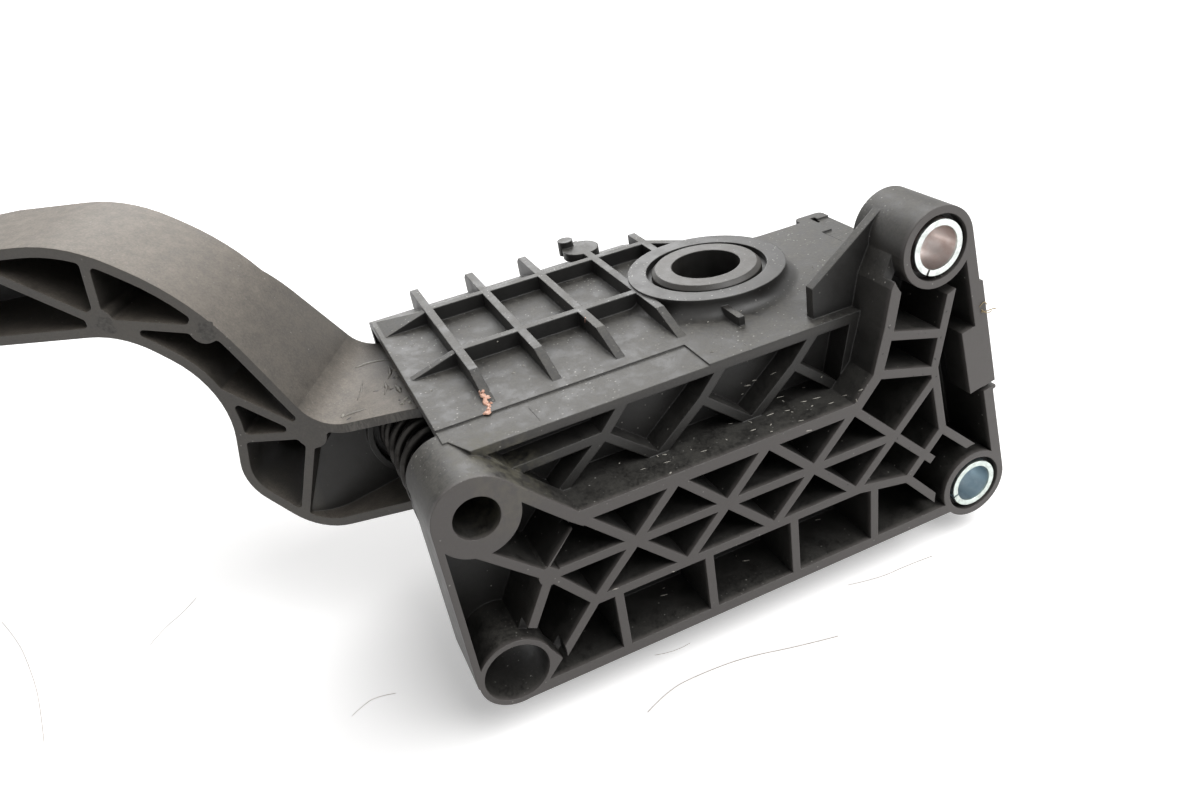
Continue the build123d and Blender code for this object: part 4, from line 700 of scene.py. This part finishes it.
def table_finish():
    """Pale table that is clear from below, with a glow that rises to white away from the part.

    Camera, glossy and transmission rays see the glow and no others do, so it casts no soft light.
    """
    look = Look("table")
    tint = look.mix(look.noise(6, 2), (0.86, 0.85, 0.845), (0.89, 0.885, 0.88))
    rays = look.node("ShaderNodeLightPath").outputs
    direct = look.math("MAXIMUM", rays["Is Camera Ray"], rays["Is Glossy Ray"])
    direct = look.math("MAXIMUM", direct, rays["Is Transmission Ray"])
    lift = look.span(look.near(glow_centre, glow_reach, 0.3), 0.0, 1.0, 1.0, 0.32)
    glow = look.times(direct, lift)
    look.set(Base_Color=tint, Roughness=0.75, Emission_Color=(1.0, 1.0, 1.0), Emission_Strength=glow)
    below = look.node("ShaderNodeNewGeometry").outputs["Backfacing"]
    clear = look.node("ShaderNodeBsdfTransparent").outputs[0]
    blend = look.node("ShaderNodeMixShader", {0: below, 1: look.shader.outputs[0], 2: clear})
    look.put(look.out.inputs[0], blend.outputs[0])
    return look.material


signs = ((-1, -1), (-1, 1), (1, 1), (1, -1))
table_corners = [(x * table_half, table_y, z * table_half) for x, z in signs]
table_mesh = bpy.data.meshes.new("table")
table_mesh.from_pydata(table_corners, [], [(0, 1, 2, 3)])
table_mesh.materials.append(table_finish())
table = bpy.data.objects.new("table", table_mesh)
bpy.context.collection.objects.link(table)


def table_hair(name, pixels, thick):
    """Fine hair lying on the table, near pixels of the photograph."""
    height = table_y + thick * 0.4 * mm - camera_place.y
    ways = [sight(px, py) for px, py in pixels]
    points = [camera_place + way * (height / way.y) for way in ways]
    hair = thread(name, points, thick, 8, hair_finish)


# Hairs on the table: thickness, and pixels along them
hair_finish = plain("table_hair", (0.55, 0.5, 0.46), (0.45, 0.41, 0.37), 0.6)
table_hairs = (
    (0.16, ((648, 712), (668, 690), (700, 674), (745, 657), (800, 646), (838, 636))),
    (0.12, ((848, 585), (880, 578), (905, 566), (932, 556))),
    (0.12, ((2, 622), (18, 640), (30, 668), (40, 700), (44, 742))),
    (0.1, ((150, 645), (164, 628), (184, 612), (196, 598))),
    (0.1, ((352, 716), (364, 704), (378, 696), (396, 693))),
    (0.1, ((655, 655), (676, 652), (690, 643))),
)
for k, (thick, pixels) in enumerate(table_hairs):
    table_hair(f"table_hair_{k + 1}", pixels, thick)


def studio():
    """World that the camera and reflections see as white, and that lights the scene weakly."""
    world = bpy.data.worlds.new("studio")
    world.use_nodes = True
    nodes = world.node_tree.nodes
    link = world.node_tree.links.new
    sky = nodes["Background"]
    sky.inputs["Color"].default_value = (1.0, 1.0, 1.0, 1)
    rays = nodes.new("ShaderNodeLightPath")
    shown = nodes.new("ShaderNodeMath")
    shown.operation = "MAXIMUM"
    link(rays.outputs["Is Camera Ray"], shown.inputs[0])
    link(rays.outputs["Is Glossy Ray"], shown.inputs[1])
    strength = nodes.new("ShaderNodeMapRange")
    strength.inputs["To Min"].default_value = 0.2
    strength.inputs["To Max"].default_value = 1.0
    link(shown.outputs[0], strength.inputs["Value"])
    link(strength.outputs[0], sky.inputs["Strength"])
    return world


# Light
lamp_target = Vector((0.03, 0.02, 0.03))


def softbox(name, place, size, power):
    """Rectangular lamp aimed at the part: size is its width and height, power is in watts."""
    lamp_data = bpy.data.lights.new(name, "AREA")
    lamp_data.shape = "RECTANGLE"
    lamp_data.size, lamp_data.size_y = size
    lamp_data.energy = power
    lamp = bpy.data.objects.new(name, lamp_data)
    bpy.context.collection.objects.link(lamp)
    lamp.location = place
    lamp.rotation_euler = (lamp_target - Vector(place)).to_track_quat("-Z", "Y").to_euler()


bpy.context.scene.world = studio()
softbox("key", (-0.42, 0.78, 0.4), (0.8, 0.8), 9.8)
softbox("rear", (0.78, 0.52, 0.22), (0.8, 0.6), 6.5)
